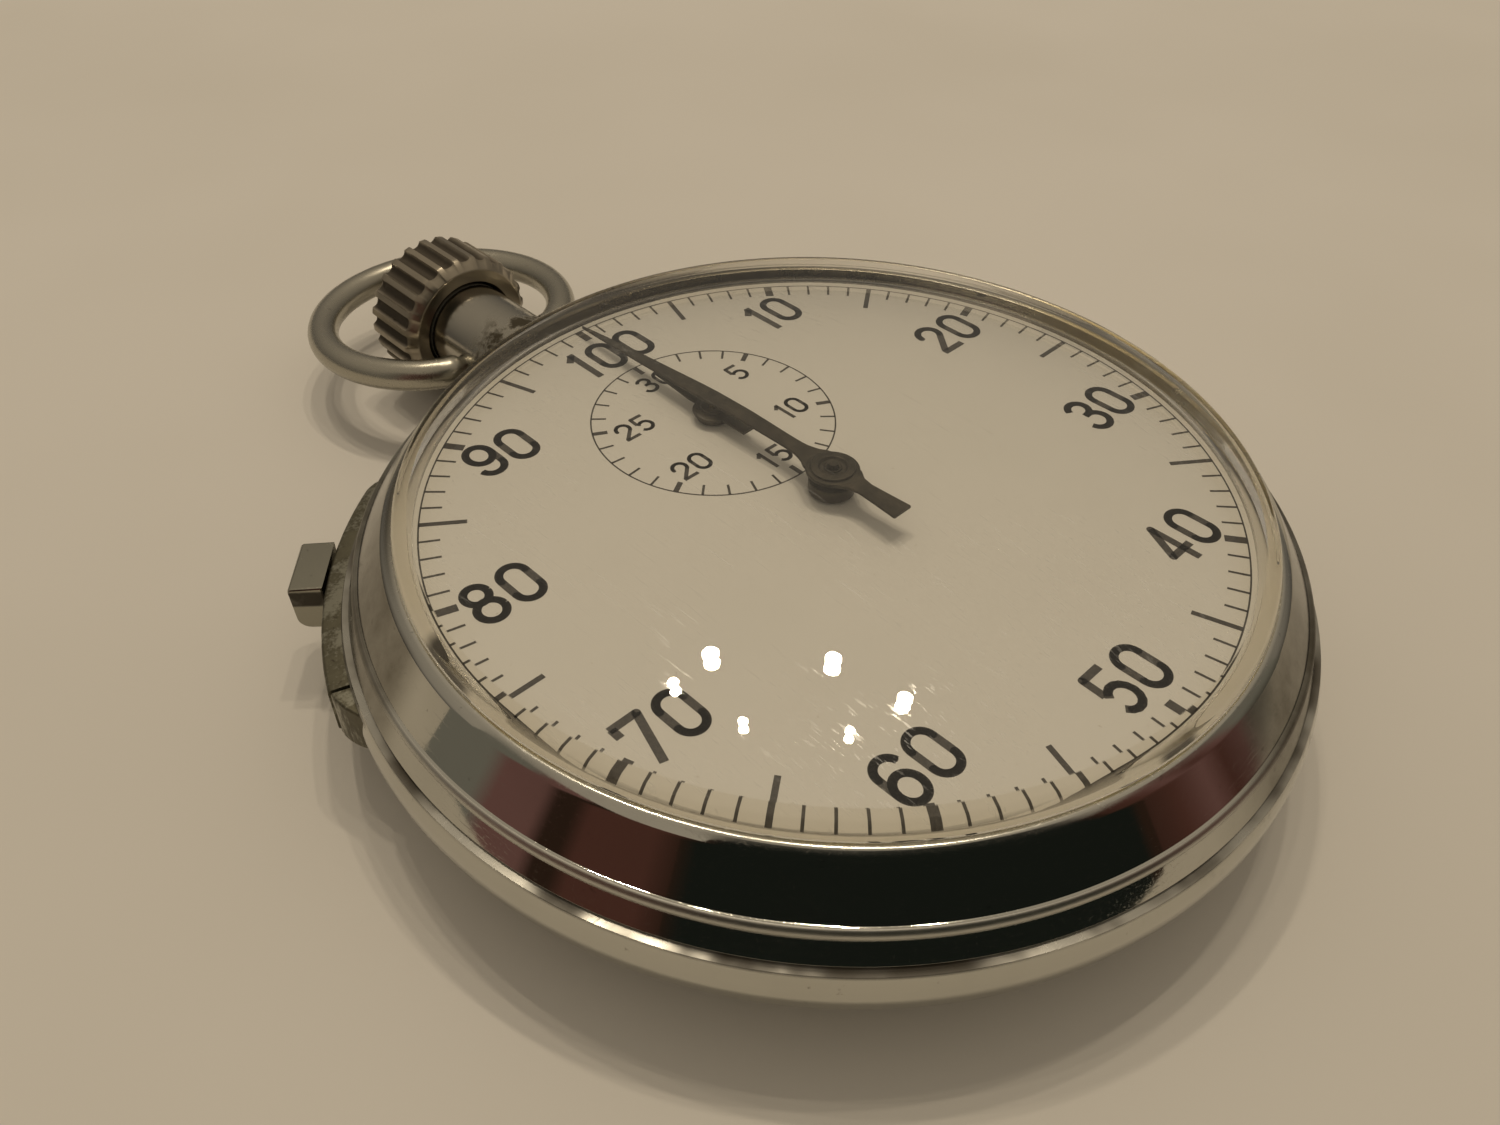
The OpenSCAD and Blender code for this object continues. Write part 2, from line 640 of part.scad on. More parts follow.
module sweep_hand() color("dimgray") translate([0, 0, sweep_hand_z]) {
    drop_y = 8.5;
    bend = 4.2;
    linear_extrude(0.18) difference() {
        union() {
            circle(r = 1.45);
            translate([0, 1]) polygon([[-0.43, 0], [-0.47, 2], [-0.54, drop_y - 1],
                [0.54, drop_y - 1], [0.47, 2], [0.43, 0]]);
            polygon([[-0.42, -1], [-0.42, -1.6], [-0.58, -4.8], [0.58, -4.8], [0.42, -1.6], [0.42, -1]]);
        }
        circle(r = 0.51);
    }
    // The point bends down towards the track
    translate([0, drop_y - 0.02, 0.01]) rotate([-bend, 0, 0]) linear_extrude(0.16)
        polygon([[-0.54, 0], [-0.3, 5.5], [-0.09, sweep_len - drop_y],
            [0.09, sweep_len - drop_y], [0.3, 5.5], [0.54, 0]]);
}

module sweep_hand_tube() color("dimgray") {
    disc(centre_p, 1.25, dial_z + 0.16, 0.75, 0.31);
    disc(centre_p, 0.95, dial_z + 0.16, sweep_hand_z - dial_z - 0.18, 0.31);
    disc(centre_p, 0.5, dial_z + 0.16, sweep_hand_z - dial_z + 0.24, 0.31);
    disc(centre_p, 0.75, sweep_hand_z + 0.2, 0.2, 0.31);
}

module minute_hand() color("dimgray") {
    disc(minute_p, 1, minute_hand_z, 0.18, 0.43);
    translate([0, counter_y, minute_hand_z + 0.02]) linear_extrude(0.14) {
        polygon([[-0.33, 0.7], [-0.36, 1.8], [-0.06, minute_len], [0.06, minute_len], [0.36, 1.8], [0.33, 0.7]]);
        translate([-0.4, -2.85]) square([0.8, 2.15]);
    }
}

module minute_hand_tube() color("dimgray") {
    disc(minute_p, 0.75, dial_z + 0.12, minute_hand_z - dial_z - 0.14, 0.29);
    disc(minute_p, 0.42, dial_z + 0.12, minute_hand_z - dial_z + 0.22, 0.29);
    disc(minute_p, 0.6, minute_hand_z + 0.2, 0.16, 0.29);
}

// ---------------------------------------------------------------- dial

module dial() color("ivory") difference() {
    disc(centre_p, 22.8, dial_z - dial_t, dial_t);
    translate([0, 0, dial_z - 1]) cylinder(r = 0.6, h = 3);
    translate([0, counter_y, dial_z - 1]) cylinder(r = 0.5, h = 3);
}

module dial_feet() color("peru") for (p = dial_foot_p) disc(p, 0.4, plate_z + 0.3, dial_z - dial_t - plate_z - 0.3);

// ---------------------------------------------------------------- movement frame

module main_plate() color("goldenrod") difference() {
    disc(centre_p, plate_r, plate_z, plate_t);
    translate([0, 0, plate_z - 1]) cylinder(r = 0.45 + run_fit, h = 4);
    translate([0, counter_y, plate_z - 1]) cylinder(r = 0.4 + run_fit, h = 4);
    for (p = plate_arbors) translate([p[0], p[1], plate_z - 1]) cylinder(r = 0.76, h = 1.5);
    for (p = plate_arbors) translate([p[0], p[1], plate_z - 1]) cylinder(r = 0.3, h = 3.2);
    translate([barrel_p[0], barrel_p[1], plate_z - 1]) cylinder(r = 0.5 + run_fit, h = 4);
    translate([inter_p[0], inter_p[1], plate_z + 0.55]) cylinder(r = 0.47, h = 4);
    for (p = dial_foot_p) translate([p[0], p[1], plate_z - 1]) cylinder(r = 0.43, h = 4);
    for (p = case_screw_p) translate([p[0], p[1], plate_z - 1]) cylinder(r = 0.52, h = 4);
    for (p = concat(barrel_feet, train_feet, [cock_foot])) translate([p[0], p[1], plate_z - 1])
        cylinder(r = 0.47, h = 1.8);
    for (p = [hammer_p, brake_p]) translate([p[0], p[1], plate_z - 1]) cylinder(r = 0.56, h = 1.8);
    // Room for the winding pinion
    translate([-2.4, pinion_y - 0.8, plate_z - 1]) cube([4.8, 2.6, 1.3]);
}

// Bridge cut from the outline drawn by its children, with a screwed foot at each of the given points
module bridge(feet, bores) difference() {
    union() {
        translate([0, 0, bridge_z]) linear_extrude(bridge_t) intersection() {
            circle(r = 20.3);
            union() {
                children();
                for (p = feet) translate(p) circle(r = 1.7);
            }
        }
        for (p = feet) disc(p, 1.5, bridge_z + 0.3, plate_z - bridge_z - 0.3);
    }
    for (p = bores) translate([p[0], p[1], bridge_z - 1]) cylinder(r = 0.76, h = 5);
    for (p = feet) translate([p[0], p[1], bridge_z - 1]) cylinder(r = 0.47, h = 20);
    for (p = feet) translate([p[0], p[1], bridge_z - 1]) cylinder(r = 1.02, h = 1.5);
}

module barrel_bridge() color("silver") difference() {
    bridge(barrel_feet, []) {
        translate(barrel_p) circle(r = 7.2);
        translate(crown_wheel_p) circle(r = 5);
        bar2d(barrel_feet[0], crown_wheel_p, 3.4);
        bar2d(barrel_feet[1], barrel_p, 6);
        bar2d(barrel_feet[2], barrel_p, 4);
        bar2d(click_p, barrel_p, 3);
        bar2d([-16.2, 11.3], barrel_p, 2);
    }
    translate([barrel_p[0], barrel_p[1], bridge_z - 1]) cylinder(r = 0.8 + run_fit, h = 4);
    translate([crown_wheel_p[0], crown_wheel_p[1], bridge_z - 1]) cylinder(r = 0.6, h = 4);
    translate([click_p[0], click_p[1], bridge_z - 1]) cylinder(r = 0.47, h = 4);
    // Groove for the crown wheel's face teeth, open above where the winding pinion dips in
    translate([crown_wheel_p[0], crown_wheel_p[1], bridge_z - 1]) difference() {
        cylinder(r = 4, h = face_z - bridge_z + 1.05);
        translate([0, 0, -1]) cylinder(r = 2.95, h = 6);
    }
    translate([-1.3, pinion_y - 0.7, bridge_z - 1]) cube([2.6, 2.5, 3]);
}

module train_bridge() color("silver") bridge(train_feet, [second_p, third_p, escape_p, centre_p]) {
    chain2d([second_p, train_feet[0], third_p, centre_p, train_feet[1]], 3.2);
    bar2d(second_p, centre_p, 2.8);
    bar2d(centre_p, escape_p, 2.8);
}

module balance_cock() color("silver") difference() {
    bridge([cock_foot], [balance_p]) bar2d(cock_foot, balance_p, 3.6);
    translate([stud_p[0], stud_p[1], bridge_z - 1]) cylinder(r = 0.32, h = 4);
}

module pallet_cock() color("silver") difference() {
    union() {
        translate([0, 0, 5.25]) linear_extrude(0.45) bar2d(pallet_foot, pallet_p, 1.5);
        disc(pallet_foot, 0.75, 5.25, plate_z - 5.25);
    }
    translate([pallet_p[0], pallet_p[1], 5]) cylinder(r = 0.13 + run_fit, h = 1);
}

module bridge_screws() color("steelblue") for (p = concat(barrel_feet, train_feet, [cock_foot]))
    screw(p, bridge_z, 1, 0.5, 0.45, 4.9);

module case_screws() color("steelblue") for (p = case_screw_p) screw(p, plate_z - 0.55, 0.9, 0.53, 0.5, 1.9);

module plate_jewels() color("crimson") for (p = plate_arbors) jewel(p, plate_z);

module bridge_jewels() color("crimson") {
    for (p = [second_p, third_p, escape_p, balance_p]) jewel(p, bridge_top - 0.55);
    disc(centre_p, 0.75, bridge_top - 0.55, 0.5, 0.3 + run_fit);
}

module regulator_index() color("silver") difference() {
    translate([balance_p[0], balance_p[1], bridge_z - 0.32]) linear_extrude(0.3) {
        circle(r = 1.2);
        rotate(120) bar2d([0, 0], [3.6, 0], 0.5);
    }
    translate([balance_p[0], balance_p[1], 0]) cylinder(r = 0.5, h = 5);
}

// ---------------------------------------------------------------- levers

module reset_hammer() color("silver") {
    pad_x = -heart_r - 0.45;
    translate([0, 0, cam_z]) linear_extrude(cam_t) difference() {
        union() {
            translate(hammer_p) circle(r = 1.3);
            chain2d([hammer_p, [0, 14.4], [-5, 12], [-5.6, counter_y], [-5.2, 0]], 1.3);
            bar2d([-5.5, counter_y + 0.4], [pad_x - 0.9, counter_y + 0.4], 0.9);
            bar2d([-5.2, 0.6], [pad_x - 1.8, 0.6], 0.9);
            bar2d(hammer_p, hammer_p + [2.4, 0], 1);
        }
        translate(hammer_p) circle(r = 0.55 + run_fit);
    }
    // Tab that the inner end of the stem presses
    translate([-0.9, 14, 4.9]) cube([1.8, 0.95, cam_z - 4.8]);
}

// Blade over the hammer's tail
module hammer_spring() color("gray") {
    translate([0, 0, cam_z + 0.05]) linear_extrude(0.3)
        chain2d([hammer_p + [1.6, 1.2], hammer_p + [3.2, 1.1], hammer_p + [4.3, 0.3]], 0.3);
    disc(hammer_p + [4.3, 0.1], 0.6, cam_z + 0.05, plate_z - cam_z - 0.05);
}

// Long curved lever along the case wall: the slide pushes its tab and lifts its pad off the balance
module brake_lever() color("silver") {
    arm_r = 20.28;
    first = 130.5;
    last = 262;
    steps = 10;
    tab = polar(centre_p, arm_r, first);
    pad = polar(balance_p, balance_r + 0.95, 235);
    translate([0, 0, cam_z]) linear_extrude(cam_t) difference() {
        union() {
            intersection() {
                difference() {
                    circle(r = arm_r + 0.3);
                    circle(r = arm_r - 0.3);
                }
                polygon(concat([[0, 0]], [for (i = [0 : steps]) polar(centre_p, 24, first + (last - first) * i / steps)]));
            }
            bar2d(polar(centre_p, arm_r, last), pad, 0.9);
            translate(brake_p) circle(r = 1.4);
            translate(tab) circle(r = 0.3);
        }
        translate(brake_p) circle(r = 0.55 + run_fit);
    }
    translate([tab[0], tab[1], 6.1]) cylinder(r = 0.28, h = cam_z - 5.9);
    // Pad beside the balance rim
    translate([pad[0], pad[1], 4.4]) cylinder(r = 0.4, h = cam_z - 4.3);
}

// ---------------------------------------------------------------- bow

module bow() color("silver") translate([0, bow_y, stem_z]) rotate([-bow_droop, 0, 0]) {
    centre_v = sqrt(bow_r * bow_r - pow(neck_r + 1.25, 2));
    opening = asin((neck_r + 1.25) / bow_r);
    translate([0, centre_v, 0]) rotate(opening - 90) rotate_extrude(angle = 360 - 2 * opening, $fn = 96)
        translate([bow_r, 0]) circle(d = bow_wire, $fn = 32);
    // Ends that turn in to the pendant tube
    for (s = [-1, 1]) {
        translate([s * (neck_r + 1.25), 0, 0]) sphere(r = bow_wire / 2 + 0.1, $fn = 32);
        translate([s * (neck_r + 0.7), 0, 0]) rotate([0, 90, 0]) cylinder(r = 0.67, h = 2.1, center = true);
    }
}

case_middle();
case_back();
bezel();
crystal();
pendant_tube();
slide_end_block();
dial();
dial_feet();
main_plate();
barrel_bridge();
train_bridge();
balance_cock();
pallet_cock();
bridge_screws();
case_screws();
plate_jewels();
bridge_jewels();
regulator_index();
hairspring();
hairspring_stud();
pivot_studs();
crown_spring();
click_spring();
hammer_spring();
winding_screws();
slider();
slider_knob();
bow();
stem_sleeve();
crown();
stem();
winding_pinion();
crown_wheel();
ratchet_wheel();
ratchet_screw();
barrel_arbor();
click();
barrel_drum();
barrel_cover();
mainspring();
second_wheel();
third_wheel();
fourth_wheel();
sweep_arbor();
sweep_heart_cam();
sweep_hand();
sweep_hand_tube();
intermediate_wheel();
minute_wheel();
minute_heart_cam();
minute_hand();
minute_hand_tube();
escape_wheel();
pallet_fork();
pallet_stones();
balance_wheel();
balance_staff();
roller_table();
reset_hammer();
brake_lever();
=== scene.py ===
"""Looks of the pocket stopwatch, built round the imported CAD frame.

Smooth case parts, printed dial, hands, crystal and worn nickel. Lengths are in millimetres unless they go
straight into a shader or into Blender, which take metres.
"""

import json
import math

import bmesh
import bpy
from mathutils import Matrix, Vector


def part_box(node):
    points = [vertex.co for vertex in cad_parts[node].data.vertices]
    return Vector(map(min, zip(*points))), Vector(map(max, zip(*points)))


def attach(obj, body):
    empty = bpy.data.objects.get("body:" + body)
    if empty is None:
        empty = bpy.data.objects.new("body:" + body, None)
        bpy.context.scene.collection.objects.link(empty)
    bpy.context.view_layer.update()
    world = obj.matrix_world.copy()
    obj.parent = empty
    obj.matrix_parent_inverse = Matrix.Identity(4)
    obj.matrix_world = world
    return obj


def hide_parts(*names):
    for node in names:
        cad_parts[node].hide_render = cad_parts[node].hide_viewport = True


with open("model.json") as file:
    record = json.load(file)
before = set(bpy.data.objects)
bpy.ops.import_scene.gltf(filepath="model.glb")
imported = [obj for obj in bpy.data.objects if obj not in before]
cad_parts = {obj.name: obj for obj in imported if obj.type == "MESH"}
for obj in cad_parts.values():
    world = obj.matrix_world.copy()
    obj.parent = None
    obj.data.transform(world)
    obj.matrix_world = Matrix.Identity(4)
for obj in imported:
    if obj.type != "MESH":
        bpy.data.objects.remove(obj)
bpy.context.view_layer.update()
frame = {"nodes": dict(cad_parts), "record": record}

MM = 0.001
DIAL_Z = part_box("dial")[1].z / MM
STEM_Z = sum(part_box("stem")[i].z for i in (0, 1)) / 2 / MM
COUNTER_Y = sum(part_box("minute_hand_tube")[i].y for i in (0, 1)) / 2 / MM
CROWN_Y0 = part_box("crown")[0].y / MM
CROWN_Y1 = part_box("crown")[1].y / MM
CROWN_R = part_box("crown")[1].x / MM
NECK_Y1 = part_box("pendant_tube")[1].y / MM
# From the bow's pivot to its far edge, as it lies at rest
BOW_REACH = 16.73
# Middle of the thumb block, anticlockwise from twelve o'clock in degrees
KNOB_TURN = 49.4


# ------------------------------------------------------------------ node trees

class Shader:
    """Short way to write a material's node tree."""

    def __init__(self, name):
        self.material = bpy.data.materials.new(name)
        self.material.use_nodes = True
        self.tree = self.material.node_tree
        self.tree.nodes.clear()
        self.output = self.tree.nodes.new("ShaderNodeOutputMaterial")
        coords = self.tree.nodes.new("ShaderNodeTexCoord")
        self.place = coords.outputs["Object"]

    def node(self, kind, settings=None, **inputs):
        made = self.tree.nodes.new("ShaderNode" + kind)
        for key, value in (settings or {}).items():
            setattr(made, key, value)
        for key, value in inputs.items():
            self.link(value, made.inputs[key])
        return made

    def link(self, value, socket):
        if isinstance(value, bpy.types.NodeSocket):
            self.tree.links.new(value, socket)
        else:
            socket.default_value = value

    def math(self, operation, first, second=0.0, third=None):
        made = self.tree.nodes.new("ShaderNodeMath")
        made.operation = operation
        self.link(first, made.inputs[0])
        self.link(second, made.inputs[1])
        if third is not None:
            self.link(third, made.inputs[2])
        return made.outputs[0]

    def noise(self, scale, detail=3.0, roughness=0.55, place=None, distortion=0.0):
        made = self.node("TexNoise", Scale=scale, Detail=detail, Roughness=roughness, Distortion=distortion)
        self.link(place or self.place, made.inputs["Vector"])
        return made.outputs["Fac"]

    def stretched(self, factors, turn=(0.0, 0.0, 0.0)):
        made = self.node("Mapping")
        self.link(self.place, made.inputs["Vector"])
        made.inputs["Scale"].default_value = factors
        made.inputs["Rotation"].default_value = turn
        return made.outputs["Vector"]

    def ramp(self, value, low, high, start=0.0, end=1.0, smooth=True):
        made = self.node("MapRange")
        made.interpolation_type = "SMOOTHSTEP" if smooth else "LINEAR"
        self.link(value, made.inputs["Value"])
        for key, number in (("From Min", low), ("From Max", high), ("To Min", start), ("To Max", end)):
            made.inputs[key].default_value = number
        return made.outputs["Result"]

    def mix(self, factor, first, second):
        made = self.node("Mix", {"data_type": "RGBA"})
        self.link(factor, made.inputs[0])
        self.link(first, made.inputs[6])
        self.link(second, made.inputs[7])
        return made.outputs[2]

    def axes(self):
        made = self.node("SeparateXYZ")
        self.link(self.place, made.inputs[0])
        return [made.outputs[i] for i in range(3)]

    def radius(self, first, second):
        return self.math("SQRT", self.math("ADD", self.math("MULTIPLY", first, first),
                                           self.math("MULTIPLY", second, second)))

    def azimuth(self):
        """Angle round the case axis, in radians from +X."""
        x, y, z = self.axes()
        return self.math("ARCTAN2", y, x)

    def bump(self, height, strength, distance=0.00005):
        made = self.node("Bump", Strength=strength, Distance=distance)
        self.link(height, made.inputs["Height"])
        return made.outputs["Normal"]

    def mixed(self, factor, first, second):
        made = self.node("MixShader")
        self.link(factor, made.inputs[0])
        self.tree.links.new(first.outputs[0], made.inputs[1])
        self.tree.links.new(second.outputs[0], made.inputs[2])
        return made

    def surface(self, color, roughness, metallic=0.0, normal=None, **extra):
        made = self.node("BsdfPrincipled")
        self.link(color, made.inputs["Base Color"])
        self.link(roughness, made.inputs["Roughness"])
        self.link(metallic, made.inputs["Metallic"])
        if normal is not None:
            self.link(normal, made.inputs["Normal"])
        for key, value in extra.items():
            self.link(value, made.inputs[key.replace("_", " ")])
        self.tree.links.new(made.outputs[0], self.output.inputs["Surface"])
        return made


def rgb(r, g, b):
    """Opaque colour, linear."""
    return (r, g, b, 1.0)


def nickel(name, base, rough, dirt_and_dark_color=rgb(0.05, 0.04, 0.025), dirt_and_painted_dark=None, wear=None, matt=None,
           tarnish_and_shade=None):
    """Polished plate with fine scratches and smudges.

    Masks come from functions that take the shader: darkening (grime and scuffs, with painted shade and painted
    dark reflection on some parts), wear (plate rubbed down to brass), matt, and tarnished patches (with painted
    shade).
    """
    s = Shader(name)
    hairs = s.ramp(s.noise(9000.0, 2.0, 0.7, s.stretched((1.0, 0.04, 1.0), (0.3, 0.2, 0.9))), 0.56, 0.74)
    hairs_b = s.ramp(s.noise(7000.0, 2.0, 0.7, s.stretched((0.05, 1.0, 1.0), (0.1, 0.5, 0.35))), 0.58, 0.76)
    smudge = s.ramp(s.noise(140.0, 5.0, 0.6), 0.42, 0.72)
    spots = s.ramp(s.noise(1500.0, 3.0, 0.6), 0.68, 0.78)
    color = s.mix(s.math("MULTIPLY", smudge, 0.35), base, rgb(*[c * 0.78 for c in base[:3]]))
    color = s.mix(s.math("MULTIPLY", spots, 0.5), color, dirt_and_dark_color)
    roughness = s.math("ADD", rough, s.math("MULTIPLY", smudge, 0.07))
    roughness = s.math("ADD", roughness, s.math("MULTIPLY", s.math("MAXIMUM", hairs, hairs_b), 0.10))
    metallic = 1.0
    # Tarnished patches, and for the bezel painted shade inside the far lip
    if tarnish_and_shade is not None:
        mask = tarnish_and_shade(s)
        color = s.mix(mask, color, rgb(0.125, 0.112, 0.085))
        roughness = s.math("ADD", roughness, s.math("MULTIPLY", mask, 0.1))
    if wear is not None:
        mask = wear(s)
        color = s.mix(mask, color, rgb(0.3, 0.25, 0.13))
        roughness = s.math("ADD", roughness, s.math("MULTIPLY", mask, 0.2))
    # Grime and scuffs; for the neck, crown and thumb block this mask also carries painted shade and painted
    # dark reflection
    if dirt_and_painted_dark is not None:
        mask = dirt_and_painted_dark(s)
        color = s.mix(mask, color, dirt_and_dark_color)
        roughness = s.math("ADD", roughness, s.math("MULTIPLY", mask, 0.6))
        metallic = s.math("SUBTRACT", 1.0, s.math("MULTIPLY", mask, 0.9))
    if matt is not None:
        roughness = s.math("ADD", roughness, s.math("MULTIPLY", matt(s), 0.34))
    waves = s.math("ADD", s.noise(260.0, 2.0), s.math("MULTIPLY", s.math("ADD", hairs, hairs_b), 0.06))
    s.surface(color, roughness, metallic, s.bump(waves, 0.06))
    return s.material


def band(s, value, centre, half, soft):
    """Mask that is 1 within half of centre and fades out over soft."""
    away = s.math("ABSOLUTE", s.math("SUBTRACT", value, centre))
    return s.ramp(away, half, half + soft, 1.0, 0.0)


def case_dirt(s):
    """Grime in the seam under the bezel and round the slide's groove, broken up by noise."""
    x, y, z = s.axes()
    r = s.radius(x, y)
    seam = s.math("MULTIPLY", band(s, z, 0.00752, 0.00006, 0.00022), s.ramp(r, 0.0248, 0.0252))
    patches = s.ramp(s.noise(420.0, 4.0, 0.65), 0.5, 0.66)
    thin = s.ramp(s.noise(160.0, 3.0), 0.35, 0.6, 0.25, 1.0)
    spill = s.math("MULTIPLY", patches, s.ramp(x, -0.012, 0.022))
    spill = s.math("MULTIPLY", band(s, z, 0.0073, 0.0001, 0.0012), spill)
    edge = s.math("MULTIPLY", band(s, z, 0.00716, 0.0001, 0.0001), band(s, s.azimuth(), 2.46, 0.42, 0.03))
    edge = s.math("MULTIPLY", edge, s.ramp(s.noise(330.0, 4.0), 0.3, 0.5, 0.2, 1.0))
    grime = s.math("MAXIMUM", s.math("MULTIPLY", seam, thin), s.math("MULTIPLY", spill, 0.7))
    return s.math("MAXIMUM", grime, edge)


def flank_tarnish(s):
    """Cloudy tarnished patches on both flanks of the bezel, and painted shade inside the lip on the crown's
    side.
    """
    x, y, z = s.axes()
    flanks = s.math("MAXIMUM", band(s, s.azimuth(), 2.5, 0.4, 0.12), band(s, s.azimuth(), -1.02, 0.42, 0.25))
    cone = s.ramp(s.radius(x, y), 0.0231, 0.0234)
    cloud = s.ramp(s.noise(170.0, 5.0, 0.65), 0.3, 0.68, 0.6, 1.0)
    # Painted shade inside the lip, growing towards the crown's side (+Y)
    inside = s.ramp(s.radius(x, y), 0.0229, 0.0233, 1.0, 0.0)
    inside = s.math("MULTIPLY", inside, s.ramp(y, 0.006, 0.014, 0.0, 0.85))
    return s.math("MAXIMUM", s.math("MULTIPLY", s.math("MULTIPLY", flanks, cone), cloud), inside)


def lip_wear(s):
    """Brass shows where the plate is rubbed off inside the lip."""
    x, y, z = s.axes()
    r = s.radius(x, y)
    line = s.math("MULTIPLY", band(s, r, 0.02256, 0.00012, 0.00014), s.ramp(y, -0.002, 0.01, 1.0, 0.0))
    return s.math("MULTIPLY", line, s.ramp(s.noise(300.0, 4.0), 0.3, 0.62, 0.25, 0.9))


def bead_matt(s):
    """The bead and the lip are duller than the polished cone between them."""
    x, y, z = s.axes()
    r = s.radius(x, y)
    bead = band(s, z, DIAL_Z * MM - 0.00205, 0.00034, 0.00008)
    bead = s.math("MULTIPLY", s.ramp(r, 0.02488, 0.02494), bead)
    return s.math("MAXIMUM", bead, s.ramp(r, 0.0230, 0.0232, 0.35, 0.0))


def bezel_dirt(s):
    """Black scuffs along the bezel's lower edge, by the slide and on the flank across from it."""
    x, y, z = s.axes()
    r = s.radius(x, y)
    ragged = s.math("MULTIPLY", s.noise(300.0, 4.0, 0.7), 0.0016)
    low = s.ramp(s.math("ADD", z, ragged), 0.0084, 0.0090, 1.0, 0.0)
    spots = s.ramp(s.noise(520.0, 4.0, 0.7), 0.54, 0.6)
    right = band(s, s.azimuth(), -1.0, 0.28, 0.12)
    left = band(s, s.azimuth(), 2.5, 0.22, 0.1)
    edge = s.math("MULTIPLY", s.math("MAXIMUM", right, left), s.math("MULTIPLY", low, spots))
    return s.math("MULTIPLY", edge, s.ramp(r, 0.0243, 0.0246))


def neck_dirt(s):
    """Tarnish at the root of the neck, and painted shade as a dark line where it enters the crown."""
    x, y, z = s.axes()
    base = s.ramp(y, 0.0285, 0.0308, 1.0, 0.0)
    patches = s.ramp(s.noise(700.0, 4.0, 0.7), 0.42, 0.6)
    # Painted shade: the neck is dark where it enters the crown's recess
    end = s.ramp(y, 0.0341, 0.0345)
    return s.math("MAXIMUM", s.math("MULTIPLY", base, patches), s.math("MULTIPLY", end, 0.9))


def crown_dirt(s):
    """Darker in the bottoms of the flutes, and painted shade inside the recess."""
    x, y, z = s.axes()
    r = s.radius(x, s.math("SUBTRACT", z, STEM_Z * MM))
    low = s.ramp(s.math("ADD", r, s.math("MULTIPLY", s.noise(900.0, 3.0), 0.0002)), 0.0048, 0.00515, 1.0, 0.0)
    body = s.math("MULTIPLY", s.ramp(y, 0.0346, 0.0350), s.ramp(y, 0.0392, 0.0394, 1.0, 0.0))
    # Painted shade inside the crown's recess
    inside = s.ramp(r, 0.00342, 0.00347, 1.0, 0.0)
    front = s.ramp(y, 0.0390, 0.0392, 1.0, 0.0)
    return s.math("MAXIMUM", s.math("MULTIPLY", s.math("MULTIPLY", low, body), 0.85),
                  s.math("MULTIPLY", s.math("MULTIPLY", inside, front), 0.9))


def knob_dirt(s):
    """Painted dark reflection: a band under the upper edge of the thumb block's lower side."""
    x, y, z = s.axes()
    turn = math.radians(90 + KNOB_TURN)
    across = s.math("SUBTRACT", s.math("MULTIPLY", y, math.cos(turn)), s.math("MULTIPLY", x, math.sin(turn)))
    side = s.math("MULTIPLY", s.ramp(across, 0.00182, 0.00186), band(s, z, 0.0062, 0.00042, 0.00018))
    return s.math("MULTIPLY", side, s.ramp(s.noise(900.0, 3.0), 0.25, 0.5, 0.6, 0.95))


def brushed(name, base, rough, along=(1.0, 0.05, 1.0), spotty=0.25, dark=None):
    """Fine-brushed or machined metal for the movement."""
    s = Shader(name)
    lines = s.noise(16000.0, 2.0, 0.6, s.stretched(along))
    cloud = s.noise(500.0, 4.0, 0.6)
    dark = dark or rgb(*[c * 0.55 for c in base[:3]])
    color = s.mix(s.math("MULTIPLY", s.ramp(cloud, 0.4, 0.75), spotty), base, dark)
    roughness = s.math("ADD", rough, s.math("MULTIPLY", lines, 0.16))
    s.surface(color, roughness, 1.0, s.bump(lines, 0.12, 0.00001))
    return s.material


def enamel():
    """Dial paint: warm white, faintly mottled, a little yellowed towards the rim."""
    s = Shader("dial_paint")
    x, y, z = s.axes()
    r = s.radius(x, y)
    cloud = s.noise(90.0, 4.0, 0.6)
    fine = s.noise(3000.0, 3.0, 0.6)
    aged = s.math("MULTIPLY", s.ramp(r, 0.0195, 0.0225), s.ramp(cloud, 0.35, 0.7, 0.15, 0.6))
    color = s.mix(s.ramp(cloud, 0.3, 0.75, 0.0, 0.5), rgb(0.715, 0.7, 0.66), rgb(0.68, 0.665, 0.62))
    color = s.mix(aged, color, rgb(0.64, 0.6, 0.5))
    specks = s.ramp(s.noise(2600.0, 2.0, 0.5), 0.74, 0.8)
    color = s.mix(s.math("MULTIPLY", specks, 0.35), color, rgb(0.4, 0.34, 0.26))
    sides = s.math("MAXIMUM", band(s, s.azimuth(), 2.99, 0.06, 0.05), band(s, s.azimuth(), -1.66, 0.03, 0.04))
    grime = s.math("MULTIPLY", band(s, r, 0.02178, 0.00006, 0.0001), sides)
    color = s.mix(s.math("MULTIPLY", grime, 0.95), color, rgb(0.015, 0.012, 0.008))
    s.surface(color, s.ramp(fine, 0.3, 0.7, 0.38, 0.5), 0.0, s.bump(fine, 0.05, 0.00001))
    return s.material


def ink():
    """Printing ink, slightly uneven so that it isn't one flat black."""
    s = Shader("dial_ink")
    grain = s.noise(6000.0, 3.0, 0.6)
    color = s.mix(s.ramp(grain, 0.35, 0.7, 0.0, 1.0), rgb(0.018, 0.015, 0.012), rgb(0.05, 0.042, 0.034))
    s.surface(color, s.ramp(grain, 0.3, 0.7, 0.4, 0.55), 0.0, s.bump(grain, 0.1, 0.000005))
    return s.material


